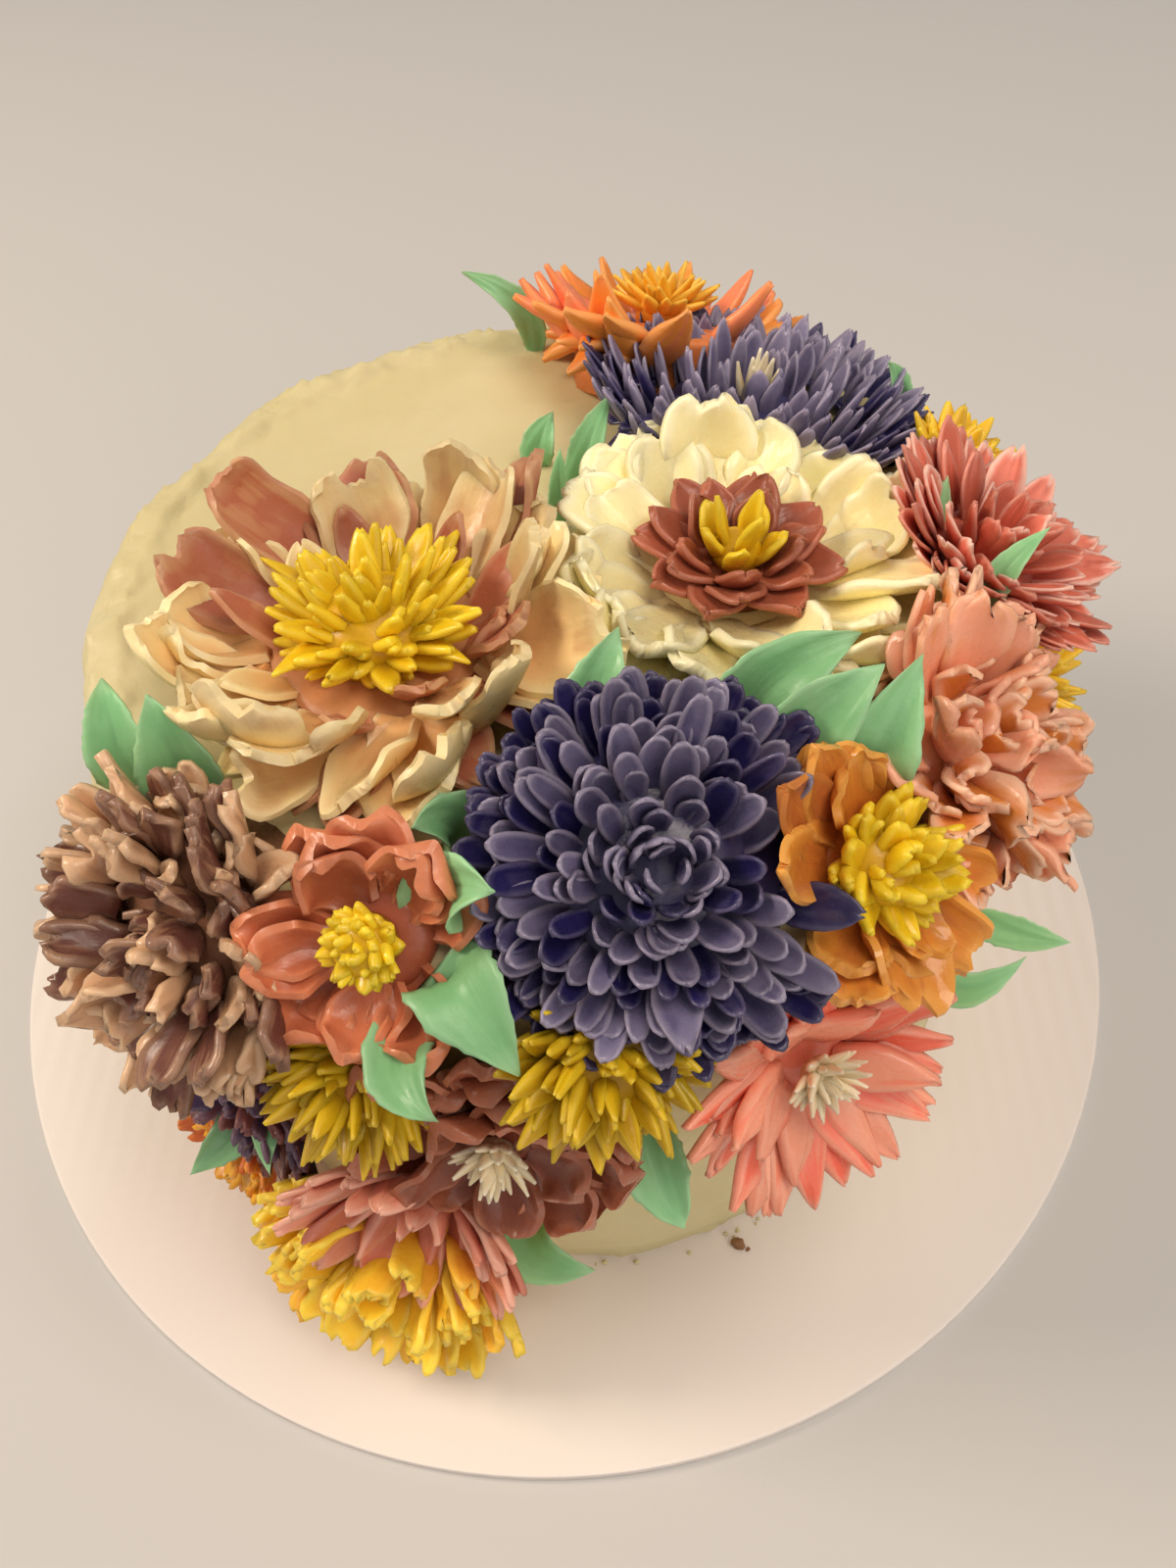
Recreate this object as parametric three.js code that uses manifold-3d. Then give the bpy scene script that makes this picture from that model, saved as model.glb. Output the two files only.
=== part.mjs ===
// A round cake in smooth butter cream, crowned with piped flowers and leaves, on its corrugated card.
// Millimetres, +Z up. The origin is the middle of the card's underside and -Y is the front.
import * as THREE from 'three';
import { mergeVertices } from 'three/addons/utils/BufferGeometryUtils.js';
import Module from 'manifold-3d';

const wasm = await Module();
wasm.setup();

// Driving dimensions: a 12 inch cake card and an 8 inch cake, 5 inches tall, a little off its middle
const CARD = { radius: 152.4, thickness: 3, sides: 64 };
const CAKE = { radius: 101.5, height: 127, x: 6.4, y: -2.6, shoulder: 8, sides: 32 };
const GAP = 0.3;
const CLEARANCE = 0.25;
const SEED = 20;
const SMALLEST_STEP = 0.1;

const degrees = THREE.MathUtils.degToRad;

// A repeatable draw of numbers between 0 and 1
function makeDraw(seed) {
  let state = seed >>> 0;
  return () => {
    state = (state + 0x6d2b79f5) >>> 0;
    let mixed = Math.imul(state ^ (state >>> 15), 1 | state);
    mixed = (mixed + Math.imul(mixed ^ (mixed >>> 7), 61 | mixed)) ^ mixed;
    return ((mixed ^ (mixed >>> 14)) >>> 0) / 4294967296;
  };
}

// Solids from meshes, and meshes from solids
function toSolid(geometry) {
  geometry.deleteAttribute('normal');
  geometry.deleteAttribute('uv');
  const merged = mergeVertices(geometry, 1e-4);
  const points = Float32Array.from(merged.attributes.position.array);
  const faces = Uint32Array.from(merged.index.array);
  if (signedVolume(points, faces) < 0) {
    faces.reverse();
  }
  return new wasm.Manifold(new wasm.Mesh({ numProp: 3, vertProperties: points, triVerts: faces }));
}

function signedVolume(points, faces) {
  const corner = (k) => new THREE.Vector3().fromArray(points, 3 * faces[k]);
  let sum = 0;
  for (let k = 0; k < faces.length; k += 3) {
    sum += corner(k).dot(corner(k + 1).cross(corner(k + 2)));
  }
  return sum / 6;
}

function toGeometry(solid) {
  const mesh = solid.getMesh();
  const geometry = new THREE.BufferGeometry();
  geometry.setAttribute('position', new THREE.BufferAttribute(Float32Array.from(mesh.vertProperties), 3));
  geometry.setIndex(new THREE.BufferAttribute(Uint32Array.from(mesh.triVerts), 1));
  geometry.computeVertexNormals();
  return geometry;
}

// The biggest body in a solid, without steps too small to see: scraps fall away
function biggestBody(solid) {
  const bodies = solid.simplify(SMALLEST_STEP).decompose();
  return bodies.reduce((best, body) => (body.volume() > best.volume() ? body : best));
}

// A closed skin over cross-sections with equal numbers of points, or a single one at a pointed end
function loft(sections) {
  const starts = sections.map((section, k) => sections.slice(0, k).flat().length);
  const round = sections[0].length;
  const faces = [];
  for (let k = 0; k + 1 < sections.length; k++) {
    const near = (i) => starts[k] + i % round;
    const far = (i) => starts[k + 1] + (i % round) % sections[k + 1].length;
    for (let i = 0; i < round; i++) {
      faces.push(near(i), near(i + 1), far(i + 1));
      if (sections[k + 1].length > 1) faces.push(near(i), far(i + 1), far(i));
    }
  }
  const last = starts[sections.length - 1];
  for (let i = 1; i + 1 < round; i++) {
    faces.push(0, i + 1, i);
    if (sections.at(-1).length > 1) faces.push(last, last + i, last + i + 1);
  }
  const geometry = new THREE.BufferGeometry().setFromPoints(sections.flat());
  geometry.setIndex(faces);
  return geometry;
}

// The cake: a straight wall, a rounded shoulder with a ragged raised lip, and a flat top.
// Each station of the profile has a radius, a height, the slope of its outward normal from
// level to upright, and how uneven the icing is there.
function cakeProfile() {
  const { radius, height, shoulder } = CAKE;
  const inner = radius - shoulder;
  const stations = [[0, 0, -90, 0], [radius - 1.5, 0, -90, 0], [radius + 0.6, 1.8, 0, 0.9]];
  for (const share of [0.3, 0.65]) {
    stations.push([radius, share * height, 0, 0.5]);
  }
  for (const turn of [0, 45]) {
    const slope = degrees(turn);
    const r = inner + shoulder * Math.cos(slope);
    const z = height - shoulder + shoulder * Math.sin(slope);
    stations.push([r, z, turn, 1]);
  }
  stations.push([inner - 1, height + 1, 90, 1], [inner - 7, height, 90, 0], [0, height, 90, 0]);
  return stations;
}

function icingRipple(angle, station) {
  const broad = 0.6 * Math.sin(3 * angle + station) + 0.4 * Math.sin(5 * angle + 1.7 * station);
  const ragged = 0.7 * Math.sin(11 * angle + 2.3 * station) + 0.5 * Math.sin(14 * angle - station);
  return broad + ragged;
}

function cakeSolid(grow) {
  const stations = cakeProfile();
  const profile = stations.map(([r, z]) => new THREE.Vector2(r, z));
  const geometry = new THREE.LatheGeometry(profile, CAKE.sides).rotateX(Math.PI / 2);
  const position = geometry.attributes.position;
  for (let k = 0; k < position.count; k++) {
    const station = k % stations.length;
    const [, , slope, uneven] = stations[station];
    const angle = 2 * Math.PI * Math.floor(k / stations.length) / CAKE.sides;
    const push = (station < 2 ? 0 : grow) + uneven * icingRipple(angle, station);
    const heading = Math.atan2(position.getY(k), position.getX(k));
    const level = push * Math.cos(degrees(slope));
    position.setXYZ(k, position.getX(k) + level * Math.cos(heading),
      position.getY(k) + level * Math.sin(heading),
      position.getZ(k) + push * Math.sin(degrees(slope)));
  }
  return toSolid(geometry);
}

// A flower's own frame: its foot on the cake, its axis leaning outward, and two directions across it
function flowerFrame({ azimuth, reach, height, lean }) {
  const outward = new THREE.Vector3(Math.cos(degrees(azimuth)), Math.sin(degrees(azimuth)), 0);
  const upward = new THREE.Vector3(0, 0, 1);
  const axis = outward.clone().multiplyScalar(Math.sin(degrees(lean)))
    .addScaledVector(upward, Math.cos(degrees(lean)));
  const across = outward.clone().multiplyScalar(Math.cos(degrees(lean)))
    .addScaledVector(upward, -Math.sin(degrees(lean)));
  const foot = outward.clone().multiplyScalar(reach).setZ(height);
  const matrix = new THREE.Matrix4().makeBasis(across, new THREE.Vector3().crossVectors(axis, across), axis);
  return matrix.setPosition(foot);
}

function heading(polar, spin) {
  const level = Math.sin(polar);
  return new THREE.Vector3(level * Math.cos(spin), level * Math.sin(spin), Math.cos(polar));
}

// Petal tips lie on a dome: level with the rim at 90 degrees from the axis, at the crown at 0
function onDome({ spread, rim, crown }, polar, spin, share) {
  const radius = spread * Math.sin(polar);
  const height = rim + (crown - rim) * Math.cos(polar);
  return new THREE.Vector3(radius * Math.cos(spin), radius * Math.sin(spin), height).multiplyScalar(share);
}

// Petal forms: at each share of the length, the share of the full width; then, as shares of the width,
// how far the two edges rise over the middle and how thick the keel under it is
const SPEAR = { stations: [[0, 0.55], [0.55, 1], [1, 0]], rise: 0.3, thick: 0.3 };
const BLADE = { stations: [[0, 0.45], [0.65, 1], [1, 0.55]], rise: 0.2, thick: 0.12 };
const SCOOP = { stations: [[0, 0.7], [1, 0.85]], rise: 0.3, thick: 0.3 };

// One petal from its root to its tip, curling by a share of its length, with a margin all round
function petalGeometry(root, tip, inward, width, form, curl, margin) {
  const along = tip.clone().sub(root);
  const length = along.length();
  along.normalize();
  const side = new THREE.Vector3().crossVectors(inward, along).normalize();
  const face = new THREE.Vector3().crossVectors(along, side);
  const sections = form.stations.map(([share, wide]) => {
    const reach = share * length + (share === 1 ? margin : 0);
    const middle = root.clone().addScaledVector(along, reach)
      .addScaledVector(face, curl * length * share * share);
    if (wide === 0) return [middle];
    const half = 0.5 * wide * width + margin;
    const edge = form.rise * wide * width + 0.5 * margin;
    const keel = -0.5 * form.thick * width - margin;
    const place = (x, y) => middle.clone().addScaledVector(side, x).addScaledVector(face, y);
    return [place(-half, edge), place(0, keel), place(half, edge)];
  });
  return loft(sections);
}

// The twenty-one flowers, the largest first. Azimuth is from +X towards +Y, reach from the cake's axis,
// height over the card, lean from upright. A mum has scales: rings of petals with a count around, rows,
// how many outer rows are long, and a bud of fewer and narrower rows in its middle. A dahlia or rose has
// rows of single petals, each with a count, a polar angle, a petal width and a form.
const mum = (around, rows, long, bud) => ({ around, rows, long, bud });
const FLOWERS = [
  { name: 'peach_dahlia', azimuth: 217, reach: 43, height: 127, lean: 0, spread: 43, rim: 21, crown: 28,
    core: 0.58, colour: 0xe6cf9b, seat: [14, 12],
    rows: [[10, 97, 19, BLADE], [7, 74, 17, SPEAR], [4, 52, 14, SPEAR]] },
  { name: 'cream_dahlia', azimuth: 342, reach: 38, height: 127, lean: 4, spread: 41, rim: 16, crown: 18,
    core: 0.58, colour: 0xe8dda0, seat: [15, 9], rows: [[9, 96, 20, BLADE], [6, 70, 17, SPEAR]] },
  { name: 'violet_back', azimuth: 43, reach: 64, height: 127, lean: 14, spread: 39, rim: 14, crown: 20,
    core: 0.7, colour: 0x6e6890, scales: mum(17, 4, 1, [8, 2]) },
  { name: 'violet_main', azimuth: 280, reach: 79, height: 127, lean: 32, spread: 33, rim: 14, crown: 28,
    core: 0.76, colour: 0x5a5480, scales: mum(18, 4, 1, [9, 2]) },
  { name: 'orange_back', azimuth: 69, reach: 80, height: 127, lean: 26, spread: 36, rim: 14, crown: 20,
    core: 0.64, colour: 0xe8803c, seat: [9, 11], scales: mum(15, 3, 1) },
  { name: 'brown_mum', azimuth: 229, reach: 96, height: 115, lean: 58, spread: 31, rim: 14, crown: 26,
    core: 0.74, colour: 0x8f5f48, scales: mum(14, 4, 1, [7, 2]) },
  { name: 'orange_mum', azimuth: 323, reach: 86, height: 123, lean: 46, spread: 27, rim: 14, crown: 24,
    core: 0.74, colour: 0xc8763a, scales: mum(14, 4, 1, [7, 2]) },
  { name: 'yellow_low', azimuth: 248, reach: 100, height: 30, lean: 76, spread: 31, rim: 26, crown: 34,
    core: 0.72, colour: 0xe8b81f, scales: mum(14, 4, 1, [7, 2]) },
  { name: 'coral_front', azimuth: 293, reach: 101, height: 90, lean: 70, spread: 28, rim: 14, crown: 18,
    core: 0.62, colour: 0xf0826a, seat: [6, 9.5], scales: mum(14, 3, 1) },
  { name: 'coral_back', azimuth: 353, reach: 85, height: 127, lean: 30, spread: 27, rim: 14, crown: 22,
    core: 0.7, colour: 0xdf6b5a, scales: mum(14, 3, 1, [7, 2]) },
  { name: 'brown_rose', azimuth: 261, reach: 101, height: 87, lean: 84, spread: 24, rim: 12, crown: 20,
    core: 0.6, colour: 0x8e4b34, seat: [6, 10], rows: [[7, 94, 14, BLADE], [4, 58, 12, SCOOP]] },
  { name: 'amber_rose', azimuth: 303, reach: 92, height: 125, lean: 42, spread: 23, rim: 12, crown: 18,
    core: 0.6, colour: 0xc97a22, seat: [9, 9], rows: [[7, 95, 15, BLADE], [4, 66, 11, SCOOP]] },
  { name: 'rust_rose', azimuth: 250, reach: 89, height: 126, lean: 48, spread: 20, rim: 14, crown: 22,
    core: 0.62, colour: 0xb85c3e, seat: [6.5, 11.5], rows: [[7, 92, 13, BLADE], [4, 58, 11, SCOOP]] },
  { name: 'pink_low', azimuth: 251, reach: 101, height: 55, lean: 86, spread: 24, rim: 14, crown: 18,
    core: 0.68, colour: 0xd98a78, scales: mum(12, 3, 1) },
  { name: 'dark_low', azimuth: 227, reach: 101, height: 65, lean: 88, spread: 26, rim: 12, crown: 18,
    core: 0.68, colour: 0x4a3a58, scales: mum(12, 3, 1) },
  { name: 'orange_low', azimuth: 221, reach: 101, height: 29, lean: 82, spread: 20, rim: 16, crown: 20,
    core: 0.68, colour: 0xe0662c, scales: mum(11, 3, 1) },
  { name: 'yellow_mum_right', azimuth: 272, reach: 101, height: 115, lean: 66, spread: 16, rim: 12,
    crown: 22, core: 0.76, colour: 0xc9a512, scales: mum(12, 4, 0) },
  { name: 'yellow_mum_left', azimuth: 248, reach: 101, height: 102, lean: 72, spread: 15, rim: 12, crown: 22,
    core: 0.76, colour: 0xc9a512, scales: mum(12, 4, 0) },
  { name: 'yellow_right', azimuth: 354, reach: 100, height: 95, lean: 60, spread: 12, rim: 10, crown: 16,
    core: 0.7, colour: 0xe5b81e, scales: mum(10, 3, 0) },
  { name: 'yellow_left', azimuth: 205, reach: 101, height: 81, lean: 86, spread: 12, rim: 8, crown: 14,
    core: 0.7, colour: 0xe5b81e, scales: mum(10, 3, 0) },
  { name: 'yellow_back', azimuth: 15, reach: 92, height: 127, lean: 25, spread: 11, rim: 8, crown: 13,
    core: 0.7, colour: 0xe5b81e, scales: mum(10, 3, 0) },
];
const MUM_TURN = { lowest: 112, top: 12, budBase: 38, budLowest: 44, budSwell: 1.08 };
const MOUND_SINK = 16;

// Hearts stand in the middle of a flower. Each is a small dome of drops, like a little mum, and the
// cream dahlia has a ring of pointed petals under its heart.
const HEARTS = [
  { name: 'peach_dahlia_heart', flower: 'peach_dahlia', spread: 18, rim: 6, crown: 16, core: 0.74,
    colour: 0xe0be1e, scales: mum(12, 5, 0) },
  { name: 'cream_dahlia_ring', flower: 'cream_dahlia', spread: 20, rim: 7, crown: 7, core: 0.6,
    colour: 0xa9533a, seat: [5.5, 4], rows: [[9, 92, 9, SPEAR]] },
  { name: 'cream_dahlia_heart', flower: 'cream_dahlia', spread: 7.5, rim: 4, crown: 9, core: 0.7, lift: 4.3,
    colour: 0xe5c01e, scales: mum(8, 3, 0) },
  { name: 'orange_back_heart', flower: 'orange_back', spread: 10, rim: 5, crown: 9, core: 0.7,
    colour: 0xeeb020, scales: mum(8, 3, 0) },
  { name: 'coral_front_heart', flower: 'coral_front', spread: 7, rim: 4, crown: 8, core: 0.7,
    colour: 0xefe0c0, scales: mum(8, 3, 0) },
  { name: 'brown_rose_heart', flower: 'brown_rose', spread: 7, rim: 4, crown: 8, core: 0.7,
    colour: 0xefe0c0, scales: mum(8, 3, 0) },
  { name: 'amber_rose_heart', flower: 'amber_rose', spread: 11, rim: 5, crown: 10, core: 0.72,
    colour: 0xefc51e, scales: mum(9, 3, 0) },
  { name: 'rust_rose_heart', flower: 'rust_rose', spread: 8, rim: 5, crown: 10, core: 0.72,
    colour: 0xe0be1e, scales: mum(9, 3, 0) },
];

// The shell of a mum: rings of points on its dome, every other ring turned half a step, so that four
// points of three rings make a diamond. A diamond with a tip carries a petal; one without stays flat.
// A wall goes down from the lowest ring, and a fan closes each end.
function shellGeometry(dome, lattice, petals, grow, sink) {
  const { around, rows, lowest, top } = lattice;
  const points = [];
  const rings = [];
  for (let k = 0; k <= rows + 1; k++) {
    const polar = degrees(lowest + (top - lowest) * k / (rows + 1));
    rings.push(points.length);
    for (let j = 0; j < around; j++) {
      const spin = 2 * Math.PI * (j + 0.5 * (k % 2)) / around;
      const spot = onDome(dome, polar, spin, lattice.swell * dome.core);
      points.push(spot.addScaledVector(heading(polar, spin), grow));
    }
  }
  const at = (k, j) => rings[k] + (j + around) % around;
  const faces = [];
  for (let k = 0; k < rows; k++) {
    for (let j = 0; j < around; j++) {
      const [low, high] = [at(k, j), at(k + 2, j)];
      const [right, left] = [at(k + 1, j + k % 2), at(k + 1, j - 1 + k % 2)];
      let corners = [low, right, high, left];
      const petal = petals(k, j, corners.map((corner) => points[corner]));
      if (!petal) {
        faces.push(low, right, high, low, high, left);
        continue;
      }
      for (const section of petal.slice(1)) {
        const next = section.map((_, i) => points.length + i);
        points.push(...section);
        corners.forEach((corner, i) => {
          const after = corners[(i + 1) % 4];
          faces.push(corner, after, next[(i + 1) % next.length]);
          if (next.length > 1) faces.push(corner, next[(i + 1) % 4], next[i]);
        });
        corners = next;
      }
    }
  }
  const wall = points.length;
  for (let j = 0; j < around; j++) {
    points.push(points[at(0, j)].clone().setZ(sink));
  }
  const pole = points.length;
  const topRing = points.slice(rings[rows + 1], rings[rows + 1] + around);
  const height = topRing[0].z + (lattice.pit ? -2 : 1);
  points.push(new THREE.Vector3(0, 0, height), new THREE.Vector3(0, 0, sink));
  const twist = rows % 2;
  for (let j = 0; j < around; j++) {
    const [foot, nextFoot] = [wall + j, wall + (j + 1) % around];
    faces.push(at(0, j), at(0, j + 1), at(1, j), foot, nextFoot, at(0, j + 1), foot, at(0, j + 1), at(0, j));
    faces.push(at(rows, j), at(rows + 1, j + twist), at(rows + 1, j - 1 + twist));
    faces.push(at(rows + 1, j), at(rows + 1, j + 1), pole, nextFoot, foot, pole + 1);
  }
  const geometry = new THREE.BufferGeometry().setFromPoints(points);
  geometry.setIndex(faces);
  return geometry;
}

const lattices = ({ scales }) => [
  { around: scales.around, rows: scales.rows, long: scales.long, lowest: MUM_TURN.lowest,
    top: scales.bud ? MUM_TURN.budBase : MUM_TURN.top, pit: Boolean(scales.bud), swell: 1 },
  ...(scales.bud ? [{ around: scales.bud[0], rows: scales.bud[1], long: 0, lowest: MUM_TURN.budLowest,
    top: MUM_TURN.top, pit: false, swell: MUM_TURN.budSwell }] : []),
];

// A body of revolution round a flower's axis
function turned(profile, frame) {
  const points = profile.map(([r, z]) => new THREE.Vector2(r, z));
  return toSolid(new THREE.LatheGeometry(points, 8).rotateX(Math.PI / 2).applyMatrix4(frame));
}

// What a flower or a heart is made of without its petals, down to a given level of its frame
function moundSolid(flower, frame, sink, grow) {
  if (flower.scales) {
    const shells = lattices(flower).map((lattice) =>
      toSolid(shellGeometry(flower, lattice, () => null, grow, sink).applyMatrix4(frame)));
    return cutToSeat(wasm.Manifold.union(shells), flower, frame, grow);
  }
  const [seatRadius, seatHeight] = flower.seat;
  const foot = flower.core * flower.spread + grow;
  return turned([[0, sink], [0.94 * foot, sink], [foot, flower.core * flower.rim],
    [seatRadius + grow, seatHeight + grow], [0, seatHeight + grow]], frame);
}

function cutToSeat(solid, flower, frame, grow) {
  if (!flower.seat) return solid;
  const [radius, height] = flower.seat;
  const over = turned([[0, height + grow], [radius + grow, height + grow], [2 * radius, height + 40],
    [0, height + 40]], frame);
  return solid.subtract(over);
}

// Rows of petals round an axis, each row turned half a step from the last and a little uneven
function petalPlan(rows, draw) {
  return rows.flatMap(([count, polar, width, form], row) => Array.from({ length: count }, (_, k) => ({
    spin: 2 * Math.PI * (k + 0.5 * (row % 2) + 0.28 * (draw() - 0.5)) / count,
    polar: degrees(polar + 7 * (draw() - 0.5)),
    width: width * (0.9 + 0.2 * draw()),
    stretch: 0.93 + 0.12 * draw(),
    curl: 0.02 + 0.1 * draw(),
    form,
  })));
}

function petalSolid(flower, frame, petal, share, lift, margin) {
  const polar = Math.max(petal.polar - degrees(lift), 0);
  const tip = onDome(flower, polar, petal.spin, share * petal.stretch);
  const root = onDome(flower, 0.96 * polar, petal.spin, 0.72 * flower.core);
  const axis = new THREE.Vector3(-0.4 * Math.cos(petal.spin), -0.4 * Math.sin(petal.spin), 1);
  return toSolid(petalGeometry(root, tip, axis, petal.width, petal.form, petal.curl, margin)
    .applyMatrix4(frame));
}

function overlaps(solid, others) {
  const a = solid.boundingBox();
  return others.some((other) => {
    const b = other.boundingBox();
    const apart = [0, 1, 2].some((k) => a.min[k] > b.max[k] || a.max[k] < b.min[k]);
    return !apart && !solid.intersect(other).isEmpty();
  });
}

// Ways to ease a petal that would cross a neighbour: a share of its length, and degrees nearer the axis
const EASINGS = [[1, 0], [0.88, 4], [0.76, 10], [0.88, 18], [0.64, 6]];
const SHORTER = [1, 0.92, 0.84, 0.78];

function clears(solid, others, cakeAndGap) {
  return solid.boundingBox().min[2] > GAP && !overlaps(solid, others)
    && solid.intersect(cakeAndGap).volume() < 0.35 * solid.volume();
}

// The cross-sections of a mum's petal on one diamond, from its corners to its tip, with a margin
function scaleSections(flower, lattice, k, corners, share, margin) {
  const middle = corners.reduce((sum, corner) => sum.add(corner), new THREE.Vector3()).multiplyScalar(0.25);
  const spin = Math.atan2(middle.y, middle.x);
  const polar = degrees(lattice.lowest + (lattice.top - lattice.lowest) * (k + 1) / (lattice.rows + 1));
  const tip = onDome(flower, polar, spin, share);
  const spread = (centre, size) => corners.map((corner) => {
    const arm = corner.clone().sub(middle);
    return centre.clone().addScaledVector(arm, size + margin / arm.length());
  });
  const outward = tip.clone().sub(middle);
  const end = tip.addScaledVector(outward.clone().normalize(), margin);
  const sections = [spread(middle, 1)];
  if (k < lattice.long) sections.push(spread(middle.clone().addScaledVector(outward, 0.5), 0.72));
  return [...sections, [end]];
}

// A flower in full: petals that clear the card and every neighbour, on a mound trimmed to the cake
function flowerSolid(flower, frame, sink, others, cuts, cakeAndGap) {
  const draw = makeDraw(SEED + Math.round(10 * flower.spread));
  const joined = [];
  if (flower.scales) {
    for (const lattice of lattices(flower)) {
      const choose = (k, j, corners) => {
        const stretch = 0.9 + 0.14 * draw();
        const sections = (share, margin) =>
          scaleSections(flower, lattice, k, corners, share * stretch, margin);
        const fitting = SHORTER.find((share) => {
          const test = toSolid(loft(sections(share, CLEARANCE)).applyMatrix4(frame));
          return test.volume() > 0 && clears(test, others, cakeAndGap);
        });
        return fitting && sections(fitting, 0);
      };
      joined.push(toSolid(shellGeometry(flower, lattice, choose, 0, sink).applyMatrix4(frame)));
    }
  } else {
    joined.push(moundSolid(flower, frame, sink, 0));
    for (const petal of petalPlan(flower.rows, draw)) {
      for (const [share, lift] of EASINGS) {
        if (!clears(petalSolid(flower, frame, petal, share, lift, CLEARANCE), others, cakeAndGap)) continue;
        joined.push(petalSolid(flower, frame, petal, share, lift, 0));
        break;
      }
    }
  }
  const whole = cutToSeat(wasm.Manifold.union(joined), flower, frame, 0);
  return biggestBody(cuts.reduce((solid, cut) => solid.subtract(cut), whole));
}

// The leaves: azimuth, reach and height of where the blade opens and of its tip, and its full width
const LEAVES = [
  [91, 86, 131, 101, 91, 147, 7.5], [46, 57, 135, 47, 59, 145, 6], [31, 98, 130, 32, 95, 140, 6],
  [354, 77, 135, 358, 80, 149, 9], [343, 88, 139, 347, 97, 151, 7], [93, 39, 129, 87, 43, 138, 8],
  [74, 26, 130, 66, 37, 148, 8], [83, 18, 130, 81, 22, 144, 4.5], [210, 95, 130, 204, 92, 144, 12],
  [219, 88, 135, 215, 87, 152, 15], [276, 50, 136, 286, 42, 150, 15], [306, 61, 138, 321, 70, 149, 16],
  [301, 76, 140, 313, 80, 156, 18], [311, 82, 136, 320, 81, 150, 14], [255, 72, 132, 252, 81, 145, 14],
  [257, 85, 136, 263, 92, 147, 15], [259, 100, 131, 265, 111, 130, 11], [254, 110, 125, 260, 120, 123, 9.5],
  [198, 112, 46, 203, 123, 36, 8], [240, 111, 105, 237, 117, 111, 7], [276, 108, 77, 278, 121, 68, 13],
  [261, 107, 31, 269, 115, 30, 13], [230, 112, 58, 229, 129, 56, 11], [235, 112, 72, 238, 122, 68, 7],
  [329, 107, 64, 330, 125, 66, 8], [310, 107, 88, 317, 119, 94, 7],
];
const LEAF = { thick: 1.3, sink: 1, stations: [0, 0.3, 0.65, 1], share: [0.45, 1, 0.86, 0] };
const LEAF_FACING = new THREE.Vector3(0, -0.62, 0.78);

function onCake(azimuth, reach, height) {
  return new THREE.Vector3(reach * Math.cos(degrees(azimuth)), reach * Math.sin(degrees(azimuth)), height);
}

// A leaf is a strip folded along its vein, with a gentle wave and a pointed end. Its two faces are
// the same grid of triangles, a constant thickness apart, closed by a wall along the edge.
function leafSolid([azimuth, reach, height, tipAzimuth, tipReach, tipHeight, width], margin, raise) {
  const overTop = height >= CAKE.height;
  const root = overTop ? onCake(azimuth, Math.min(reach, CAKE.radius - 4), CAKE.height - LEAF.sink)
    : onCake(azimuth, CAKE.radius - LEAF.sink, height);
  const open = onCake(azimuth, reach, height).addScaledVector(LEAF_FACING, raise);
  const tip = onCake(tipAzimuth, tipReach, tipHeight).addScaledVector(LEAF_FACING, raise);
  const spine = new THREE.CatmullRomCurve3([root, open, tip]);
  const points = [[], []];
  const counts = [];
  LEAF.stations.forEach((share, k) => {
    const centre = spine.getPointAt(share);
    const along = spine.getTangentAt(share);
    const side = new THREE.Vector3().crossVectors(along, LEAF_FACING).normalize();
    const face = new THREE.Vector3().crossVectors(side, along);
    const half = 0.5 * width * LEAF.share[k] + margin;
    const fold = 0.28 * half;
    const wave = 0.05 * width * Math.sin(2.5 * Math.PI * share);
    const across = LEAF.share[k] === 0 ? [[0, 0]] : [[-half, fold + wave], [0, 0], [half, fold - wave]];
    counts.push(across.length);
    points.forEach((list, skin) => across.forEach(([x, y]) => {
      const off = (skin ? -1 : 1) * (0.5 * LEAF.thick + margin);
      list.push(centre.clone().addScaledVector(side, x).addScaledVector(face, y + off));
    }));
  });
  const sheet = [];
  const edge = { left: [], right: [] };
  let start = 0;
  counts.forEach((count, k) => {
    edge.left.push(start);
    edge.right.push(start + count - 1);
    const next = start + count;
    for (let i = 0; i < 2 && k + 1 < counts.length; i++) {
      if (counts[k + 1] === 1) {
        sheet.push([start + i, next, start + i + 1]);
      } else {
        sheet.push([start + i, next + i, start + i + 1], [start + i + 1, next + i, next + i + 1]);
      }
    }
    start = next;
  });
  const under = points[0].length;
  const rim = [1, 2, ...edge.right.slice(1), ...edge.left.slice(0, -1).reverse()];
  const faces = sheet.flatMap(([a, b, c]) => [a, b, c, under + a, under + c, under + b]);
  rim.forEach((b, k) => {
    const a = rim.at(k - 1);
    faces.push(a, b, under + b, a, under + b, under + a);
  });
  const geometry = new THREE.BufferGeometry().setFromPoints(points.flat());
  geometry.setIndex(faces);
  return toSolid(geometry);
}

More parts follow.
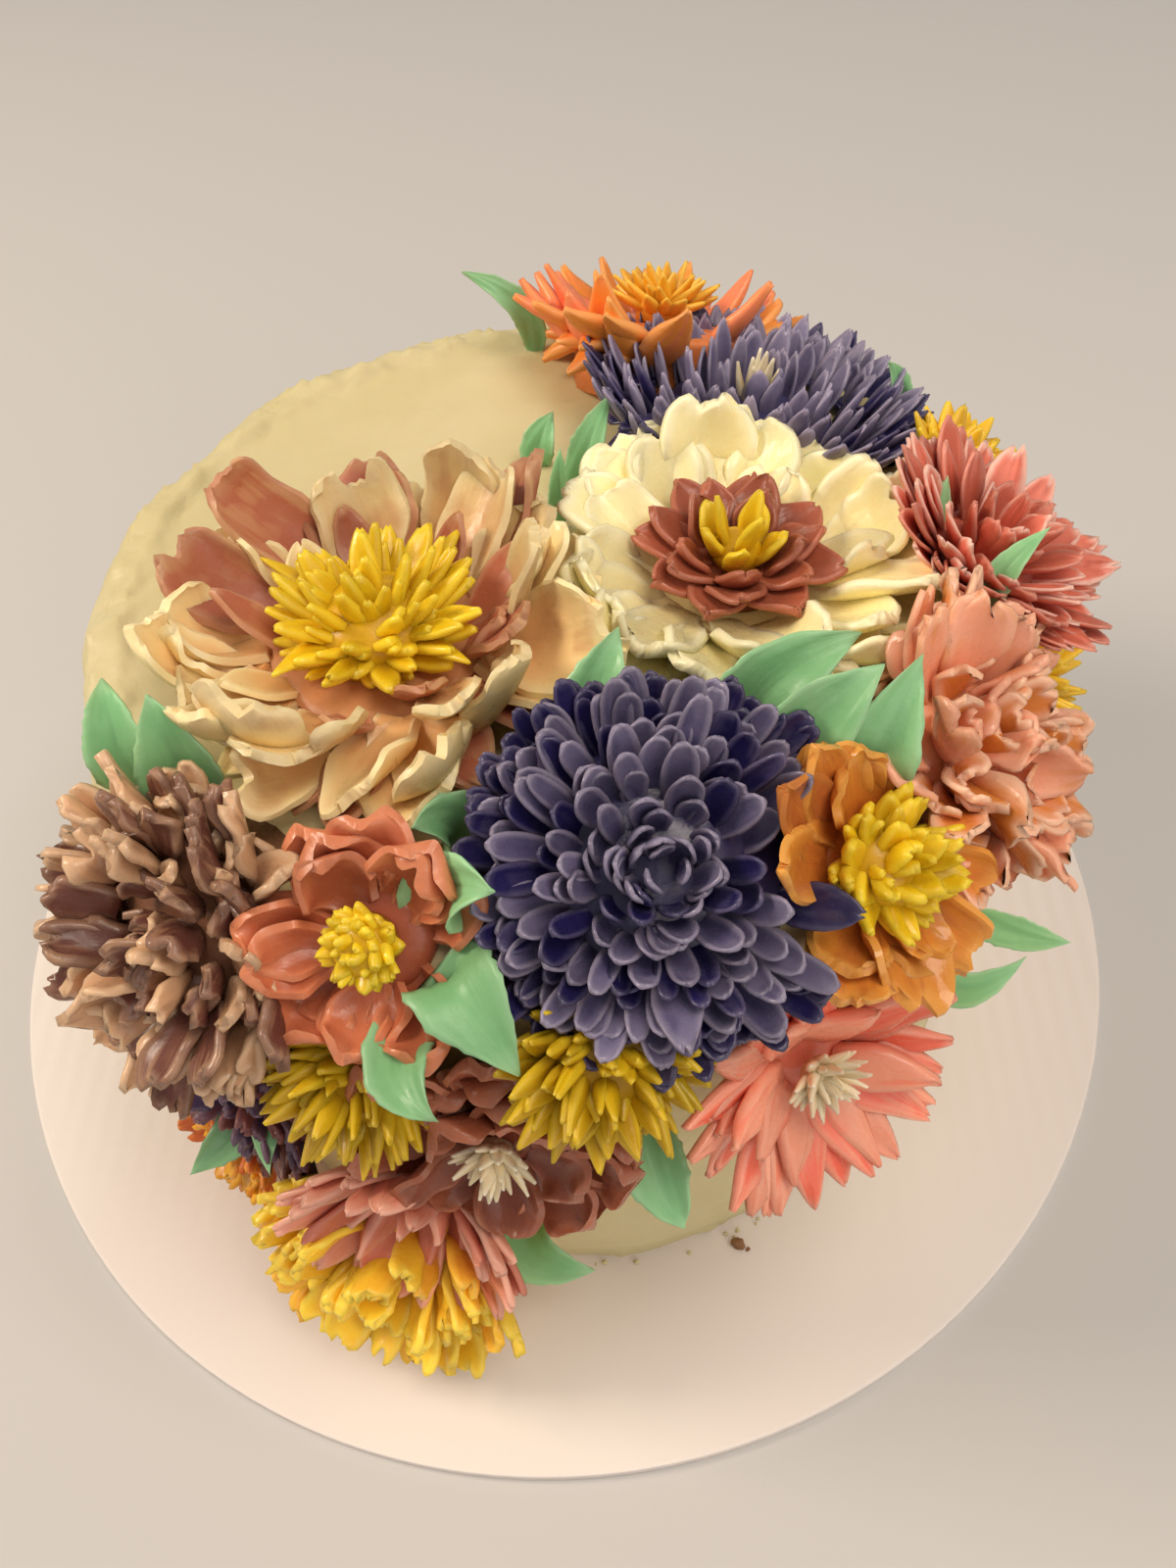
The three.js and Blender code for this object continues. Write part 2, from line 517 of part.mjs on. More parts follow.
// Everything that stands on the cake, in the cake's frame: mounds and hearts come first, leaves are
// trimmed to them, and petals then fill the room that is left
const cakeAndGap = cakeSolid(GAP);
const mounds = new Map();
const cutsBy = new Map();
const moundsAndGap = [];
for (const flower of FLOWERS) {
  const frame = flowerFrame(flower);
  cutsBy.set(flower.name, [cakeAndGap, ...moundsAndGap]);
  const mound = moundSolid(flower, frame, -MOUND_SINK, 0);
  const cuts = cutsBy.get(flower.name);
  mounds.set(flower.name, biggestBody(cuts.reduce((solid, cut) => solid.subtract(cut), mound)));
  moundsAndGap.push(moundSolid(flower, frame, -MOUND_SINK, GAP));
}
const hearts = new Map();
for (const heart of HEARTS) {
  const flower = FLOWERS.find(({ name }) => name === heart.flower);
  const level = flower.seat[1] + (heart.lift ?? 0) + GAP;
  const frame = flowerFrame(flower).multiply(new THREE.Matrix4().makeTranslation(0, 0, level));
  hearts.set(heart.name, flowerSolid(heart, frame, 0, [...hearts.values()], moundsAndGap, cakeAndGap));
}

const leaves = new Map();
const leavesWithMargin = [];
const fixed = [...hearts.values()];
LEAVES.forEach((spec, k) => {
  const trim = (solid) => biggestBody([cakeAndGap, ...moundsAndGap]
    .reduce((left, other) => left.subtract(other), solid));
  for (const raise of [0, 1.2, -1.2, 2.4, -2.4, 3.6]) {
    const wide = leafSolid(spec, CLEARANCE, raise);
    if (overlaps(wide, [...fixed, ...leavesWithMargin])) continue;
    const name = `leaf_${String(k + 1).padStart(2, '0')}`;
    leaves.set(name, trim(leafSolid(spec, 0, raise)));
    leavesWithMargin.push(leaves.get(name));
    return;
  }
  throw new Error(`leaf ${k + 1} has no room`);
});

const blooms = new Map();
for (const flower of FLOWERS) {
  const others = [...hearts.values(), ...leaves.values(), ...blooms.values()];
  for (const [name, mound] of mounds) {
    if (name !== flower.name && !blooms.has(name)) others.push(mound);
  }
  blooms.set(flower.name, flowerSolid(flower, flowerFrame(flower), -MOUND_SINK, others,
    cutsBy.get(flower.name), cakeAndGap));
}

// The scene graph: the card, and on it the cake with what stands on it
const FROSTING = { color: 0xe3d6a8, roughness: 0.5, metalness: 0 };
const CARDBOARD = { color: 0xe9e2da, roughness: 0.8, metalness: 0 };
const LEAF_GREEN = { color: 0x5fa56c, roughness: 0.45, metalness: 0 };

function piece(name, geometry, finish) {
  const mesh = new THREE.Mesh(geometry, new THREE.MeshStandardMaterial(finish));
  mesh.name = name;
  return mesh;
}

const model = new THREE.Group();
const disc = new THREE.CylinderGeometry(CARD.radius, CARD.radius, CARD.thickness, CARD.sides);
const card = piece('card', disc.rotateX(Math.PI / 2), CARDBOARD);
card.position.z = CARD.thickness / 2;
model.add(card);

const onCard = new THREE.Group();
onCard.position.set(CAKE.x, CAKE.y, CARD.thickness);
onCard.add(piece('cake', toGeometry(cakeSolid(0)), FROSTING));
for (const { name, colour } of FLOWERS) {
  onCard.add(piece(name, toGeometry(blooms.get(name)), { color: colour, roughness: 0.42, metalness: 0 }));
}
for (const { name, colour } of HEARTS) {
  onCard.add(piece(name, toGeometry(hearts.get(name)), { color: colour, roughness: 0.42, metalness: 0 }));
}
for (const [name, solid] of leaves) {
  onCard.add(piece(name, toGeometry(solid), LEAF_GREEN));
}
model.add(onCard);

export default model;
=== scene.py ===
import bpy
import numpy as np
from mathutils import Matrix, Vector


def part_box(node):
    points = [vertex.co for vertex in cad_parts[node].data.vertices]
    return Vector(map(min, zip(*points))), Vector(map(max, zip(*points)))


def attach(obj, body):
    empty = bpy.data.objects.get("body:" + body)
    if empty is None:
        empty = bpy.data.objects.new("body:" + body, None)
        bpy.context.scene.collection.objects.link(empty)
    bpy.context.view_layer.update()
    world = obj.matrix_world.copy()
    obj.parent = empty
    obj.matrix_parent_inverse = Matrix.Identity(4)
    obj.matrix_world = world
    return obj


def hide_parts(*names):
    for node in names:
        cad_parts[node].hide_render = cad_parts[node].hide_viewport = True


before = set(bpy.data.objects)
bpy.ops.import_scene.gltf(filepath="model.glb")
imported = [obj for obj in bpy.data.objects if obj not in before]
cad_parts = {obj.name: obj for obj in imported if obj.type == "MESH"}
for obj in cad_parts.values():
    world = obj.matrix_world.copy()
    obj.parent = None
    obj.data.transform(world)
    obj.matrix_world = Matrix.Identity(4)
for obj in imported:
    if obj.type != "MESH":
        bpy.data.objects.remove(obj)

bl_info = {
    "name": "Butter cream flower cake",
    "version": (1, 0, 0),
    "blender": (4, 5, 0),
    "location": "View3D > Sidebar > Cake",
    "description": "Finishes a round frosted cake with piped flowers and leaves on its card",
    "category": "Object",
}

MM = 0.001
TAU = 2 * np.pi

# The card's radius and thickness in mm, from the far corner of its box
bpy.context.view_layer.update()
CARD_RADIUS, _, CARD_THICK = np.round(np.array(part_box("card")[1]) / MM, 2)

# The cake in mm: a cylinder with a rounded shoulder, a little off the middle of the card
CAKE_RADIUS = 101.5
CAKE_TALL = 127.0
CAKE_SHOULDER = 8.0
CAKE_AT = np.array([6.4, -2.6, CARD_THICK])


# Numbers and colours

def draw(seed):
    """A repeatable source of random numbers."""
    return np.random.default_rng(seed)


def linear(code):
    """An sRGB hex value such as "E9DDB0" as linear red, green, blue and alpha."""
    parts = np.array([int(code[k:k + 2], 16) / 255 for k in (0, 2, 4)])
    low = parts / 12.92
    high = ((parts + 0.055) / 1.055) ** 2.4
    return (*np.where(parts <= 0.04045, low, high), 1.0)


def smooth_step(low, high, value):
    """0 below low, 1 above high and a smooth ramp between: 3t^2 - 2t^3 of the share t."""
    t = np.clip((value - low) / (high - low), 0, 1)
    return t * t * (3 - 2 * t)


def unit(vectors):
    """Vectors divided by their length."""
    return vectors / np.maximum(np.linalg.norm(vectors, axis=-1, keepdims=True), 1e-9)


# Meshes: what is known at each point, for the materials, and the turn in degrees that stays a crisp edge
MARKS = ("along", "edge", "tone", "tint", "hollow")
CRISP_FROM = 60


class Skin:
    """Points, quads and per-point attributes gathered piece by piece and made one mesh at the end."""

    def __init__(self):
        self.points, self.faces, self.marks, self.uvs, self.count = [], [], [], [], 0

    def add(self, points, quads, marks, uv):
        """points (n, 3) in mm, quads (m, 4) with -1 last for a triangle, marks (n, 5) and uv (n, 2)."""
        self.points.append(points)
        self.faces.append(np.where(quads < 0, -1, quads + self.count))
        self.marks.append(marks)
        self.uvs.append(uv)
        self.count += len(points)

    def build(self, name, material, slot, node, crisp=False):
        """One mesh object, smooth or with crisp edges, that rides on the cake and replaces node if given."""
        points = np.concatenate(self.points) * MM
        quads = np.concatenate(self.faces)
        marks = np.concatenate(self.marks)
        uvs = np.concatenate(self.uvs)
        sides = np.where(quads[:, 3] < 0, 3, 4)
        starts = np.cumsum(sides) - sides
        corners = quads[quads >= 0]
        mesh = bpy.data.meshes.new(name)
        mesh.vertices.add(len(points))
        mesh.vertices.foreach_set("co", points.ravel())
        mesh.loops.add(len(corners))
        mesh.loops.foreach_set("vertex_index", corners.astype(np.int32))
        mesh.polygons.add(len(quads))
        mesh.polygons.foreach_set("loop_start", starts.astype(np.int32))
        mesh.update(calc_edges=True)
        for k, label in enumerate(MARKS):
            attribute = mesh.attributes.new(label, "FLOAT", "POINT")
            attribute.data.foreach_set("value", marks[:, k].astype(np.float32))
        layer = mesh.uv_layers.new(name="petal")
        layer.uv.foreach_set("vector", uvs[corners].astype(np.float32).ravel())
        mesh.polygons.foreach_set("use_smooth", np.ones(len(quads), dtype=bool))
        mesh.validate()
        if crisp:
            mesh.set_sharp_from_angle(angle=np.radians(CRISP_FROM))
        piece = bpy.data.objects.new(name, mesh)
        bpy.context.scene.collection.objects.link(piece)
        mesh.materials.append(material)
        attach(piece, "root")
        if node:
            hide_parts(node)
        return piece


def tube_quads(rings, around, lip=False):
    """Quads of a closed tube of rings of points. Two extra points close its ends as fans, and with lip
    the far end is closed by a strip between the two faces of a flattened tube instead."""
    k, j = np.meshgrid(np.arange(rings - 1), np.arange(around), indexing="ij")
    after = (j + 1) % around
    here, above = k * around, (k + 1) * around
    walls = np.stack([here + j, here + after, above + after, above + j], -1)
    j = np.arange(around)
    after = (j + 1) % around
    start, end, last = rings * around, rings * around + 1, (rings - 1) * around
    none = np.full(around, -1)
    near = np.stack([start + 0 * j, after, j, none], -1)
    far = np.stack([end + 0 * j, last + j, last + after, none], -1)
    if lip:
        j = np.arange(around // 2 - 1)
        far = last + np.stack([j, j + 1, around - 2 - j, around - 1 - j], -1)
    return np.concatenate([walls.reshape(-1, 4), near, far])


# Petals

class Form:
    """How a petal is shaped: its outline, cross-section, thickness and torn edges.

    neck is the root's share of the width and full_at where the petal gets to its full width. From
    end_from on its outline closes towards the share tip as (1 - t^a)^b, with a and b in end: 2 and 0.5
    make a round end, 1 and 1 a point. wrap gives the angles in degrees through which the cross-section
    bends at the root, the middle and the tip. thick is in mm, and thin the share of it that is lost by
    the tip. jag is how far the end and the edges are torn, and ruffle how far the edges wave, as shares
    of the width. rings and across say how many points there are along the petal and over its width.
    """

    def __init__(self, neck, full_at, end_from, end, tip, wrap, thick, thin=0.3, jag=0.03, ruffle=0.0,
                 rings=8, across=6):
        self.neck, self.full_at, self.end_from, self.end, self.tip = neck, full_at, end_from, end, tip
        self.wrap, self.thick, self.thin, self.jag, self.ruffle = wrap, thick, thin, jag, ruffle
        self.rings, self.across = rings, across

    def outline(self, u):
        """The share of the full width at each place along the petal."""
        rise = self.neck + (1 - self.neck) * smooth_step(0, self.full_at, u)
        t = np.clip((u - self.end_from) / (1 - self.end_from), 0, 1)
        return rise * (self.tip + (1 - self.tip) * np.maximum(1 - t ** self.end[0], 0) ** self.end[1])


ROUND, BLUNT, OGIVE, POINT = (2.2, 0.5), (2.5, 0.5), (1.5, 0.75), (1.1, 0.85)
COARSE, FINE = dict(rings=7, across=4), dict(rings=16, across=14)
FORMS = {
    "scoop": Form(0.65, 0.5, 0.6, ROUND, 0.3, (70, 100, 85), 1.2, jag=0.06, rings=9),
    "slim": Form(0.5, 0.5, 0.6, OGIVE, 0.2, (60, 85, 60), 1.2, jag=0.16, across=5),
    "torn": Form(0.65, 0.4, 0.7, BLUNT, 0.4, (50, 70, 40), 2.4, jag=0.26, ruffle=0.05, rings=10, across=8),
    "finger": Form(0.8, 0.35, 0.4, POINT, 0.1, (50, 60, 40), 4.0, 0.4, 0.04, 0.04, rings=11, across=7),
    "drop": Form(0.75, 0.35, 0.35, OGIVE, 0.25, (20, 40, 30), 3.0, 0.2, 0.14, across=4),
    "spike": Form(0.8, 0.3, 0.3, POINT, 0.12, (30, 40, 30), 2.4, **COARSE),
    "thorn": Form(0.8, 0.3, 0.3, POINT, 0.14, (30, 45, 30), 3.0, jag=0.1, **COARSE),
    "stub": Form(0.7, 0.4, 0.75, BLUNT, 0.5, (50, 75, 45), 3.0, jag=0.3, ruffle=0.05, rings=10, across=8),
    "leafy": Form(0.6, 0.5, 0.55, OGIVE, 0.12, (60, 75, 50), 2.3, 0.2, 0.1, 0.04, rings=14, across=12),
    "blade": Form(0.5, 0.45, 0.8, BLUNT, 0.6, (75, 105, 70), 3.2, 0.35, 0.17, 0.04, **FINE),
    "lobe": Form(0.5, 0.5, 0.65, ROUND, 0.45, (60, 85, 65), 3.8, 0.3, 0.1, 0.05, **FINE),
    "loop": Form(0.5, 0.55, 0.5, ROUND, 0.4, (95, 120, 90), 2.7, 0.1, 0.02, 0.09, **FINE),
}

# How uneven petals are: how many random values blend along a side and over the tip, the waves on an
# edge, the spread of the wrap angle, and the most that a tip is torn as a share of its length
SIDE_DRAWS, TIP_DRAWS = 6, 5
EDGE_WAVES = 1.6
WRAP_SPREAD = (0.8, 1.2)
TORN_MOST = 0.3
TIP_CROWDING = 1.4
LEAST_BEND = 0.02


def blend_rows(values, across):
    """Random values per petal spread smoothly over the width: a straight line between each two."""
    at = np.linspace(0, values.shape[-1] - 1, across)
    weights = np.maximum(1 - np.abs(at[None] - np.arange(values.shape[-1])[:, None]), 0)
    return values @ weights


def petals(form, root, tip, side, width, bend, twist, tone, tint, rng):
    """A closed thin shell for each petal.

    Its spine is an arc of a circle over the chord from root to tip, which turns through the angle
    bend and sags away from the hollow side. Each cross-section is an arc as wide as the outline,
    bent through the wrap angle round the spine and turned a little more towards the tip by twist,
    with a thickness that thins towards the edges and the tip. Rings stand closer near the tip, at
    1 - (1 - t)^TIP_CROWDING. All arrays have one row per petal.
    """
    n, rings, across = len(root), form.rings, form.across
    u = 1 - (1 - np.linspace(0, 1, rings)) ** TIP_CROWDING
    row = u[None, :, None]
    v = np.concatenate([np.linspace(-1, 1, across), np.linspace(1, -1, across)])
    skin = np.concatenate([-np.ones(across), np.ones(across)])
    length = np.linalg.norm(tip - root, axis=-1)[:, None, None]
    along = unit(tip - root)
    side = unit(side - along * np.sum(side * along, -1, keepdims=True))
    face = np.cross(along, side)
    turn = np.where(np.abs(bend) < LEAST_BEND, LEAST_BEND, bend)[:, None]
    swing = turn * (u[None] - 0.5)
    chord = 2 * np.sin(turn / 2)
    forth = ((np.sin(swing) + np.sin(turn / 2)) / chord)[..., None]
    sag = ((np.cos(turn / 2) - np.cos(swing)) / chord)[..., None]
    spine = root[:, None] + length * (forth * along[:, None] + sag * face[:, None])
    ahead = np.cos(swing)[..., None] * along[:, None] + np.sin(swing)[..., None] * face[:, None]
    up = np.cos(swing)[..., None] * face[:, None] - np.sin(swing)[..., None] * along[:, None]
    wide = width[:, None, None]
    half = 0.5 * wide * form.outline(u)[None, :, None]
    wrap = np.radians(np.interp(u, (0, 0.5, 1), form.wrap))[None] * rng.uniform(*WRAP_SPREAD, (n, 1))
    angle = 0.5 * wrap[:, :, None] * v
    radius = half / np.sin(np.minimum(0.5 * wrap, np.pi / 2))[:, :, None]
    x = radius * np.sin(angle)
    y = radius * (1 - np.cos(angle))
    edges = np.moveaxis(blend_rows(rng.uniform(-1, 1, (n, 2, SIDE_DRAWS)), rings), 1, 2) * form.jag * 0.5
    x = x * (1 + np.where(v < 0, edges[..., :1], edges[..., 1:]) * np.abs(v) ** 3)
    phase = rng.uniform(0, TAU, (n, 1, 2))
    wave = np.sin(row * TAU * EDGE_WAVES + np.where(v < 0, phase[..., :1], phase[..., 1:])) * v ** 2
    lap = np.sin(3.4 * v + phase[..., :1]) * row ** 4
    y = y + form.ruffle * wide * (wave * np.sqrt(row) + 0.9 * lap)
    offset = 0.5 * form.thick * (1 - form.thin * row ** 2) * (1 - 0.5 * v ** 2) * skin
    offset = offset * np.minimum(1, 0.3 + half / (0.9 * form.thick))
    x = x - np.sin(angle) * offset
    y = y + np.cos(angle) * offset
    spun = twist[:, None, None] * row
    x, y = x * np.cos(spun) - y * np.sin(spun), x * np.sin(spun) + y * np.cos(spun)
    coarse = blend_rows(rng.uniform(-1, 1, (n, TIP_DRAWS)), across)
    torn = (0.9 * coarse + 0.25 * rng.uniform(-1, 1, (n, across))) * form.jag
    limit = TORN_MOST * length / wide
    torn = np.clip(np.concatenate([torn, torn[:, ::-1]], 1)[:, None], -limit, limit) * wide * row ** 2.5
    points = spine[:, :, None] + side[:, None, None] * x[..., None] + up[:, :, None] * y[..., None]
    points = points + ahead[:, :, None] * torn[..., None]
    start = points[:, 0].mean(axis=1) - along * 0.5
    m = 2 * across
    every = np.concatenate([points.reshape(n, rings * m, 3), start[:, None]], 1)
    marks = np.zeros((n, rings * m + 1, 5))
    # Marks for the material: along and hollow place its painted shade at the root and in the hollow, and
    # edge and along its painted light on the rim and the tip
    marks[:, :-1, 0] = np.repeat(u, m)
    marks[:, :-1, 1] = np.tile(np.abs(v), rings)
    marks[:, :, 2] = tone[:, None]
    marks[:, :, 3] = tint[:, None]
    marks[:, :-1, 4] = np.tile(np.where(skin > 0, 1 - np.abs(v) ** 3, 0), rings)
    uv = np.zeros((n, rings * m + 1, 2))
    uv[:, :-1, 0] = np.tile(v, rings) * 0.5 * width[:, None]
    uv[:, :-1, 1] = np.repeat(u, m) * length[:, 0]
    uv += rng.uniform(0, 50, (n, 1, 2))
    quads = tube_quads(rings, m, lip=True)
    steps = (np.arange(n) * (rings * m + 1))[:, None, None]
    faces = np.where(quads[None] < 0, -1, quads[None] + steps)
    return every.reshape(-1, 3), faces.reshape(-1, 4), marks.reshape(-1, 5), uv.reshape(-1, 2)


# How far a flower keeps others away over its dome of tips and under its foot, in mm
ROOM_OVER = 8.0
ROOM_UNDER = 8.0


class Place:
    """A flower's place on the cake, and the dome on which its petal tips lie, in mm and degrees.

    azimuth is measured from +X, reach from the cake's axis, height from the card and lean from upright.
    spread is how wide the petals reach, and rim and crown how high the dome stands at its edge and in
    its middle. core is the mound's share of the dome, seat how high its flat top is for a heart, and
    lift how far along the axis the foot is raised.
    """

    def __init__(self, azimuth, reach, height, lean, spread, rim, crown, core, seat=None, lift=0.0):
        self.azimuth, self.reach, self.height, self.lean = azimuth, reach, height, lean
        self.spread, self.rim, self.crown, self.core = spread, rim, crown, core
        self.seat, self.lift = seat, lift

    def axes(self):
        """Rows across, sideways and along the flower's axis, and its foot, in the cake's frame."""
        a, lean = np.radians(self.azimuth), np.radians(self.lean)
        outward = np.array([np.cos(a), np.sin(a), 0])
        up = np.array([0, 0, 1.0])
        axis = np.sin(lean) * outward + np.cos(lean) * up
        across = np.cos(lean) * outward - np.sin(lean) * up
        foot = self.reach * outward + self.height * up + self.lift * axis
        return np.array([across, np.cross(axis, across), axis]), foot

    def holds(self, points, share=0.86):
        """Whether points in the cake's frame lie under a share of this flower's dome of tips."""
        rows, foot = self.axes()
        there = (points - foot) @ rows.T / share
        level = np.clip(1 - (there[..., 0] ** 2 + there[..., 1] ** 2) / self.spread ** 2, 0, 1)
        top = self.rim + (self.crown - self.rim) * np.sqrt(level)
        return (level > 0) & (there[..., 2] < top + ROOM_OVER) & (there[..., 2] > -ROOM_UNDER)

    def dome(self, polar, spin, share):
        """Points at a share of the way out to the dome of tips, at angles from and round the axis."""
        radius = self.spread * np.sin(polar) * share
        height = (self.rim + (self.crown - self.rim) * np.cos(polar)) * share
        return np.stack([radius * np.cos(spin), radius * np.sin(spin), height + 0 * spin], -1)


PLACES = {
    "peach_dahlia": Place(217, 43, 127, 0, 43, 21, 28, 0.58, 12),
    "cream_dahlia": Place(342, 38, 127, 4, 41, 16, 18, 0.58, 9),
    "violet_back": Place(43, 64, 127, 14, 39, 14, 20, 0.7),
    "violet_main": Place(280, 79, 127, 32, 33, 14, 28, 0.76),
    "orange_back": Place(69, 80, 127, 26, 36, 14, 20, 0.64, 11),
    "brown_mum": Place(229, 96, 115, 58, 31, 14, 26, 0.74),
    "orange_mum": Place(323, 86, 123, 46, 27, 14, 24, 0.74),
    "yellow_low": Place(248, 100, 30, 76, 31, 26, 34, 0.72),
    "coral_front": Place(293, 101, 90, 70, 28, 14, 18, 0.62, 9.5),
    "coral_back": Place(353, 85, 127, 30, 27, 14, 22, 0.7),
    "brown_rose": Place(261, 101, 87, 84, 24, 12, 20, 0.6, 10),
    "amber_rose": Place(303, 92, 125, 42, 23, 12, 18, 0.6, 9),
    "rust_rose": Place(250, 89, 126, 48, 20, 14, 22, 0.62, 11.5),
    "pink_low": Place(251, 101, 55, 86, 24, 14, 18, 0.68),
    "dark_low": Place(227, 101, 65, 88, 26, 12, 18, 0.68),
    "orange_low": Place(221, 101, 29, 82, 20, 16, 20, 0.68),
    "yellow_mum_right": Place(272, 101, 115, 66, 16, 12, 22, 0.76),
    "yellow_mum_left": Place(248, 101, 102, 72, 15, 12, 22, 0.76),
    "yellow_right": Place(354, 100, 95, 60, 12, 10, 16, 0.7),
    "yellow_left": Place(205, 101, 81, 86, 12, 8, 14, 0.7),
    "yellow_back": Place(15, 92, 127, 25, 11, 8, 13, 0.7),
}


# What lies over each flower, so that it has no petals there
OVER = {
    "peach_dahlia": ("violet_main",),
    "cream_dahlia": ("violet_main", "peach_dahlia"),
    "violet_main": ("amber_rose_heart", "amber_side"),
    "violet_back": ("cream_dahlia",),
    "orange_back": ("violet_back",),
    "brown_mum": ("rust_rose", "peach_dahlia"),
    "orange_mum": ("cream_dahlia", "amber_rose_heart", "leaf_side"),
    "coral_front": ("violet_main", "amber_rose", "yellow_mum_right"),
    "coral_back": ("orange_mum",),
    "rust_rose": ("peach_dahlia", "violet_main", "rust_side"),
    "amber_rose": ("violet_main", "orange_mum"),
    "brown_rose": ("yellow_mum_left", "yellow_mum_right"),
    "pink_low": ("brown_rose", "yellow_mum_left"),
    "yellow_low": ("pink_low", "brown_rose"),
    "dark_low": ("brown_mum", "yellow_mum_left", "pink_low"),
    "orange_low": ("dark_low", "yellow_low"),
    "yellow_mum_right": ("violet_main",),
    "yellow_mum_left": ("rust_rose", "brown_mum"),
    "yellow_right": ("orange_mum", "coral_back"),
    "yellow_left": ("brown_mum",),
    "yellow_back": ("coral_back",),
}


# The gap between a heart and the seat under it, in mm
HEART_GAP = 0.3


def heart_place(flower, spread, rim, crown, core, lift=0.0):
    """A heart's place: on the seat of its flower, a hair's breadth over it."""
    base = PLACES[flower]
    return Place(base.azimuth, base.reach, base.height, base.lean, spread, rim, crown, core,
                 lift=base.seat + lift + HEART_GAP)


PLACES.update({
    "peach_dahlia_heart": heart_place("peach_dahlia", 18, 6, 16, 0.74),
    "cream_dahlia_ring": heart_place("cream_dahlia", 20, 7, 7, 0.6),
    "cream_dahlia_heart": heart_place("cream_dahlia", 7.5, 4, 9, 0.7, 4.3),
    "orange_back_heart": heart_place("orange_back", 10, 5, 9, 0.7),
    "coral_front_heart": heart_place("coral_front", 7, 4, 8, 0.7),
    "brown_rose_heart": heart_place("brown_rose", 7, 4, 8, 0.7),
    "amber_rose_heart": heart_place("amber_rose", 11, 5, 10, 0.72),
    "rust_rose_heart": heart_place("rust_rose", 8, 5, 10, 0.72),
})

# Spots that are kept free for leaves and for the petals of a neighbour
PLACES.update({
    "rust_side": Place(261, 96, 128, 50, 11, 8, 12, 0.6),
    "leaf_side": Place(317, 76, 134, 30, 9, 8, 12, 0.6),
    "amber_side": Place(299, 91, 128, 42, 21, 13, 22, 0.6),
})

# How far petals stay clear of the icing and of the card, and how deep a mound goes into the cake, in mm
CLEAR_OF_ICING = 0.6
CLEAR_OF_CARD = 0.5
MOUND_DEEP = 6.0


def off_the_cake(points, clear):
    """Points in the cake's frame, pushed out along the icing's normal where they lie nearer than clear."""
    flat = np.hypot(points[:, 0], points[:, 1])
    over = np.stack([flat - (CAKE_RADIUS - CAKE_SHOULDER), points[:, 2] - (CAKE_TALL - CAKE_SHOULDER)], -1)
    outside = np.maximum(over, 0)
    inside = np.minimum(over.max(-1), 0)
    away = np.linalg.norm(outside, axis=-1)
    distance = away + inside - CAKE_SHOULDER
    slope = np.where(away[:, None] > 1e-6, outside / np.maximum(away, 1e-6)[:, None],
                     np.stack([over[:, 0] > over[:, 1], over[:, 0] <= over[:, 1]], -1).astype(float))
    push = np.maximum(clear - distance, 0)
    outward = points[:, :2] / np.maximum(flat, 1e-6)[:, None]
    moved = points.copy()
    moved[:, :2] += outward * (push * slope[:, 0])[:, None]
    moved[:, 2] += push * slope[:, 1]
    moved[:, 2] = np.maximum(moved[:, 2], CLEAR_OF_CARD)
    return moved


def set_down(place, points, free):
    """Points from a flower's frame put on the cake, clear of its icing where free is true."""
    rows, foot = place.axes()
    there = points @ rows + foot
    there = np.where(free[:, None], off_the_cake(there, CLEAR_OF_ICING), there)
    return there + CAKE_AT


def add_mound(skin, place, size):
    """The mound under the petals: a dome at a share of the dome of tips, down into the cake."""
    around = 40
    polar = np.radians(np.array([100, 85, 70, 55, 40, 25, 12]))
    spin = np.linspace(0, TAU, around, endpoint=False)
    rings = place.dome(polar[:, None], spin[None], size * place.core)
    if place.seat:
        rings[..., 2] = np.minimum(rings[..., 2], place.seat - 0.5)
    foot = rings[:1].copy()
    foot[..., 2] = -MOUND_DEEP if place.lift == 0 else -2 * HEART_GAP
    rings = np.concatenate([foot, rings])
    poles = np.array([[0, 0, foot[0, 0, 2]], [0, 0, rings[-1, 0, 2] + 0.3]])
    points = np.concatenate([rings.reshape(-1, 3), poles])
    # These marks give the mound a petal root's painted shade, half in the second colour
    marks = np.tile([0.0, 0.0, 0.4, 0.5, 0.6], (len(points), 1))
    skin.add(set_down(place, points, np.zeros(len(points), bool)), tube_quads(len(rings), around), marks,
             points[:, :2])


class Row:
    """A ring of petals, alike but a little uneven.

    polar is the angle in degrees of the tips from the flower's axis and reach how far out they lie, as
    a share of the dome of tips. The roots lie at the share root of the way out and low of the way up.
    sink lowers the tips in mm. bend is the arc of each petal in degrees, twist its turn, wild how
    uneven the ring is, tint the share of petals in the second colour and spin where the ring starts.
    """

    def __init__(self, count, polar, width, form, reach=1.0, root=0.5, low=None, sink=0.0, bend=25,
                 twist=12, wild=1.0, tint=0.0, spin=None):
        self.count, self.polar, self.width, self.form = count, polar, width, form
        self.reach, self.root, self.low = reach, root, root if low is None else low
        self.sink, self.bend, self.twist = sink, bend, twist
        self.wild, self.tint, self.spin = wild, tint, spin


